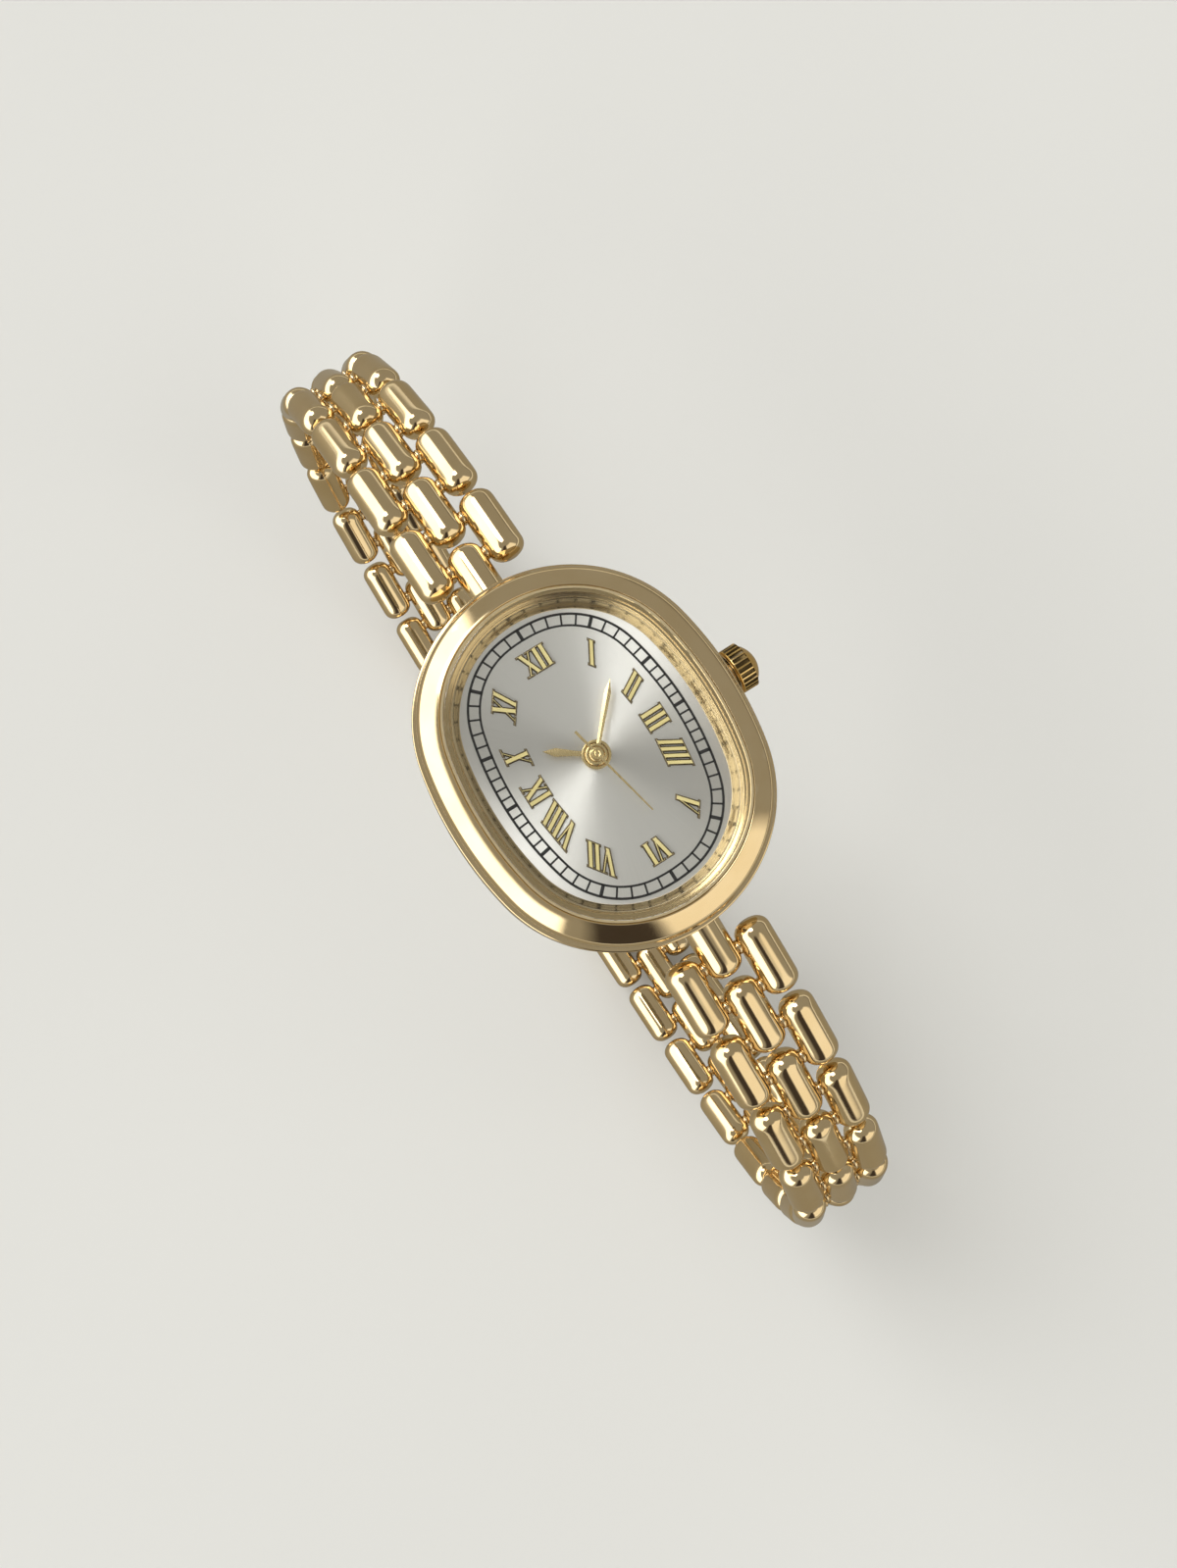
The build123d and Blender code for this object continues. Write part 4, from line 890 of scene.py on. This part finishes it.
def makeBlade(s):
    rows, rowLift = len(s["stations"]), 0.02  # a placed row is lifted, so that it isn't picked again
    bpy.ops.object.select_all(action="DESELECT")
    bpy.ops.mesh.primitive_grid_add(x_subdivisions=2, y_subdivisions=rows - 1, size=1 * mm)
    blade = settle("blade")
    edit(blade)
    for index, (y, half) in enumerate(s["stations"]):
        gridY = -0.5 + index / (rows - 1)
        pick(blade, "VERT", lambda v: abs(v.co.y / mm - gridY) < near and abs(v.co.z) < near * mm)
        width = 2 * max(half, handMetal["pointHalf"])
        bpy.ops.transform.resize(value=(width, 1, 1), center_override=(0, 0, 0))
        bpy.ops.transform.translate(value=point(0, y - gridY, rowLift))
    pick(blade, "VERT", lambda v: abs(v.co.x) < near * mm)
    bpy.ops.transform.translate(value=point(0, 0, s["ridge"]))
    selectWhole()
    bpy.ops.mesh.normals_make_consistent(inside=False)
    leave()
    if blade.data.polygons[0].normal.z < 0:
        edit(blade)
        selectWhole()
        bpy.ops.mesh.flip_normals()
        leave()
    applyModifier(blade, "SOLIDIFY", thickness=handMetal["bladeThickness"] * mm, offset=-1)
    blade.data.transform(Matrix.Translation(point(0, 0, handMetal["bladeThickness"] - rowLift)))
    return blade


def makeHub(s):
    thick = handMetal["hubThickness"]
    hub = addRod("hub", handMetal["hubFlats"], s["hub"], thick, (0, 0, thick / 2))
    edit(hub)
    pick(hub, "FACE", facing((0, 0, 1)))
    bpy.ops.mesh.inset(thickness=(s["hub"] - s["ring"]) * mm)
    insetAndRaise(*handMetal["groove"])
    insetAndRaise(*handMetal["boss"])
    leave()
    breakEdges(hub, handMetal["hubEdge"], 40)
    return hub


def makeHand(name):
    s = handSizes[name]
    blade = makeBlade(s)
    hand = joined(name, [makeHub(s), blade])
    turn = Matrix.Rotation(-radians(s["angle"]), 4, "Z")
    hand.data.transform(Matrix.Translation(point(0, 0, headLift + s["level"])) @ turn)
    smooth(hand, 25)
    finishPiece(hand, gold["handGold"], s["body"], "gold_trim", s["node"])
    # painted shade: the hand's steep side faces get the near-black gold
    paintSecond(hand, gold["paintedShadeGold"], lambda face: abs(face.normal.z) < handMetal["paintedShadeTilt"])


makeCrown()
for handName in handSizes:
    makeHand(handName)
print("crown and hands done")


# Numerals: the CAD bars with a sloping rim up to a raised face, on a near-black rim of painted shadow close
# to the dial
numeralSizes = {
    "rim": 0.036, "rise": 0.012, "outline": 0.05, "outlineTop": 0.03, "topMargin": 0.01, "merge": 0.001,
    "paintedShadeTilt": 0.99,
}


def numeralBars(name):  # the CAD numerals merged into clean bars, left in edit mode
    bars = copyOf(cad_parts["hour_numerals"], Matrix.Identity(4), name)
    edit(bars)
    selectWhole()
    bpy.ops.mesh.remove_doubles(threshold=numeralSizes["merge"] * mm)
    bpy.ops.mesh.dissolve_limited(angle_limit=radians(1))
    return bars


def makeNumerals():
    s = numeralSizes
    bars = numeralBars("hourNumerals")
    pick(bars, "FACE", facing((0, 0, 1)))
    insetAndRaise(s["rim"], s["rise"])
    leave()
    outline = numeralBars("numeralPaintedShadow")
    selectWhole()
    bpy.ops.transform.shrink_fatten(value=s["outline"] * mm, use_even_offset=True)
    leave()
    outlineTop = (headLift + s["outlineTop"]) * mm
    for vertex in outline.data.vertices:
        vertex.co.z = outlineTop if vertex.co.z > outlineTop else headLift * mm
    # painted shadow: the low rim, the faces close to the dial and the steep sides get the near-black gold
    def dark(face):
        low = face.center.z < outlineTop + s["topMargin"] * mm
        return low or abs(face.normal.z) < s["paintedShadeTilt"]
    numerals = joined("hourNumerals", [bars, outline])
    finishPiece(numerals, gold["numeralGold"], "head", "gold_trim", "hour_numerals")
    paintSecond(numerals, gold["paintedShadeGold"], dark)


# Minute track: two fine oval lines with sixty ticks between them
trackSizes = {
    "line": 0.135, "outerLine": 0.155, "gap": 0.74, "tick": 0.12, "hourTick": 0.22, "tickOverlap": 0.02,
    "height": 0.012, "level": 0.002,
}


def ovalSpot(oval, inset, target, tries=200):  # where the oval meets a clock angle, and its outward direction
    heading, best = 0.0, None
    for centre, turn, radius in ovalArcs(oval):
        for step in range(tries):
            angle = heading + turn * step / tries
            reach = radius - inset
            spot = (centre[0] + reach * cos(angle), centre[1] + reach * sin(angle))
            clock = atan2(spot[0], spot[1])
            error = abs((clock - target + pi) % (2 * pi) - pi)
            if best is None or error < best[0]:
                best = (error, spot, angle)
        heading += turn
    return best[1], best[2]


def trackRing(name, inset, width):
    low, top = trackSizes["level"], trackSizes["level"] + trackSizes["height"]
    return spunOval(name, trackOval, [
        (inset, low, 0, 1), (inset, top, 0, 1), (inset + width, top, 0, 1), (inset + width, low, 0, 1),
    ])


def makeTick():
    s = trackSizes
    bpy.ops.object.select_all(action="DESELECT")
    bpy.ops.mesh.primitive_cube_add(
        size=1, location=point(0, 0, s["level"] + s["height"] / 2),
        scale=point(s["gap"] + s["tickOverlap"], 1, s["height"]),
    )
    return settle("tick")


def makeTrack():
    s = trackSizes
    track = [trackRing("outerLine", 0, s["outerLine"]), trackRing("innerLine", s["gap"], s["line"])]
    tick = makeTick()
    for minute in range(60):
        spot, angle = ovalSpot(trackOval, (s["gap"] + s["outerLine"]) / 2, radians(6 * minute))
        width = s["hourTick"] if minute % 5 == 0 else s["tick"]
        place = Matrix.Translation(point(spot[0], spot[1], 0)) @ Matrix.Rotation(angle, 4, "Z")
        track.append(copyOf(tick, place @ Matrix.Diagonal((1, width, 1, 1))))
    remove(tick)
    minuteTrack = joined("minuteTrack", track)
    minuteTrack.data.transform(lift)
    finishPiece(minuteTrack, plain["trackInk"], "head", "silver_dial")


makeNumerals()
makeTrack()
print("dial print and numerals done")

# The CAD nodes that stay as they are get their finishes
nodeFinishes = {
    "gasketReflectionAndShade": ["crystal_gasket"],
    "gasketRubber": ["back_gasket", "crown_gasket"],
    "holderPlastic": ["movement_holder"],
    "movementBrass": ["movement_plate"],
    "movementSteel": ["setting_stem", "clutch_wheel", "train_bridge", "battery_clamp", "stator"],
    "batterySteel": ["battery"],
    "boardGreen": ["circuit_board"],
    "coilCopper": ["coil"],
    "magnetNickel": ["upper_clasp_magnets", "lower_clasp_magnets"],
    "wheelBrass": [
        "crown_tube", "rotor", "fifth_wheel", "second_wheel", "third_wheel", "centre_wheel", "cannon_pinion",
        "minute_wheel", "hour_wheel",
    ],
}
paint(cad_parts["dial"], dialSilver)
for finishName, nodeNames in nodeFinishes.items():
    for nodeName in nodeNames:
        paint(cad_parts[nodeName], plain[finishName])

# Floor: plain pale table top; polished metal shows it in a darker tone, painted shade in its reflections
floorSizes = {
    "side": 4.0, "level": -0.05, "colour": (0.785, 0.79, 0.77), "shade": (0.755, 0.76, 0.74), "clouds": 9,
    "paintedShadeInMetal": (0.34, 0.32, 0.27), "roughness": 0.6, "specular": 0.1,
}


def makeFloor():
    s = floorSizes
    bpy.ops.object.select_all(action="DESELECT")
    bpy.ops.mesh.primitive_plane_add(size=s["side"], location=point(0, 0, s["level"]))
    floor = settle("tableTop")
    material, tree, shader = startMaterial("paleTable")
    clouds = noise(tree, objectPlace(tree), s["clouds"], 2)
    paper = twoTones(tree, spread(tree, clouds, 0, 1), s["colour"], s["shade"])
    # painted shade: glossy rays see the floor in a dark tone, so polished metal reflects it darker
    paintedShadeInMetal = node(tree, "ShaderNodeLightPath").outputs["Is Glossy Ray"]
    tree.links.new(twoTones(tree, paintedShadeInMetal, paper, s["paintedShadeInMetal"]), shader.inputs["Base Color"])
    shader.inputs["Roughness"].default_value = s["roughness"]
    shader.inputs["Specular IOR Level"].default_value = s["specular"]
    floor.data.materials.append(material)


# Studio: the world is a grey room with a broad window, a bright strip above it, a dim light opposite
# and two dark panels
# each patch: middle direction and half spread in degrees, lowest and highest elevation, soft edge, colour
studio = {
    "room": (0.355, 0.345, 0.32),
    "backdrop": (0.86, 0.86, 0.84),
    "patches": [
        {"turn": 156, "half": 61, "low": -12, "high": 46, "soft": 5, "colour": (2.6, 2.58, 2.53)},
        {"turn": 106, "half": 18, "low": 42, "high": 66, "soft": 5, "colour": (5.4, 5.37, 5.3)},
        {"turn": -68, "half": 30, "low": 12, "high": 60, "soft": 8, "colour": (1.15, 1.1, 1.0)},
        {"turn": 247, "half": 16, "low": -5, "high": 66, "soft": 9, "colour": (0.06, 0.05, 0.045)},
        {"turn": -10, "half": 48, "low": -10, "high": 10, "soft": 6, "colour": (0.08, 0.07, 0.06)},
    ],
    "horizon": (4, 8),
}


def patchMask(tree, patch, x, y, elevation):  # 1 where a direction meets the patch
    turn, soft = radians(patch["turn"]), patch["soft"] / 2
    # the direction turned so that the patch's middle is straight ahead
    ahead = math(tree, "ADD", math(tree, "MULTIPLY", x, cos(turn)), math(tree, "MULTIPLY", y, sin(turn)))
    aside = math(tree, "SUBTRACT", math(tree, "MULTIPLY", y, cos(turn)), math(tree, "MULTIPLY", x, sin(turn)))
    swing = math(tree, "MULTIPLY", math(tree, "ABSOLUTE", math(tree, "ARCTAN2", aside, ahead)), 180 / pi)
    across = spread(tree, swing, 1, 0, patch["half"] - soft, patch["half"] + soft)
    above = spread(tree, elevation, 0, 1, patch["low"] - soft, patch["low"] + soft)
    below = spread(tree, elevation, 1, 0, patch["high"] - soft, patch["high"] + soft)
    return math(tree, "MULTIPLY", across, math(tree, "MULTIPLY", above, below))


def makeStudio():
    world = bpy.data.worlds.new("studio")
    bpy.context.scene.world = world
    world.use_nodes = True
    tree = world.node_tree
    x, y, z = apart(tree, node(tree, "ShaderNodeTexCoord").outputs["Generated"])
    elevation = math(tree, "MULTIPLY", math(tree, "ARCSINE", z), 180 / pi)
    colour = studio["room"]
    for patch in studio["patches"]:
        colour = twoTones(tree, patchMask(tree, patch, x, y, elevation), colour, patch["colour"])
    path = node(tree, "ShaderNodeLightPath")
    seen = math(tree, "MAXIMUM", path.outputs["Is Camera Ray"], path.outputs["Is Transmission Ray"])
    # metal shows the same backdrop just above the table's edge
    lowBand = spread(tree, elevation, 1, 0, *studio["horizon"])
    seen = math(tree, "MAXIMUM", seen, math(tree, "MULTIPLY", path.outputs["Is Glossy Ray"], lowBand))
    whole = twoTones(tree, seen, colour, studio["backdrop"])
    tree.links.new(whole, tree.nodes["Background"].inputs["Color"])


# Camera at the photograph's place: right, up and back are its axes
view = {
    "place": (-11.99, -5.73, 133.40), "lens": 33.67, "film": 36, "clip": (0.002, 20),
    "right": (0.84042, -0.53699, 0.07307),
    "up": (0.52896, 0.84213, 0.10497),
    "back": (-0.11790, -0.04957, 0.99179),
}


def makeCamera():
    cameraData = bpy.data.cameras.new("camera")
    cameraData.lens = view["lens"]
    cameraData.sensor_width = view["film"]
    cameraData.clip_start, cameraData.clip_end = view["clip"]
    camera = bpy.data.objects.new("camera", cameraData)
    bpy.context.scene.collection.objects.link(camera)
    axes = Matrix((view["right"], view["up"], view["back"])).transposed().to_4x4()
    camera.matrix_world = Matrix.Translation(point(*view["place"])) @ axes
    bpy.context.scene.camera = camera


makeFloor()
makeStudio()
makeCamera()
bpy.context.scene.view_settings.view_transform = "Standard"
print("floor, studio and camera done")
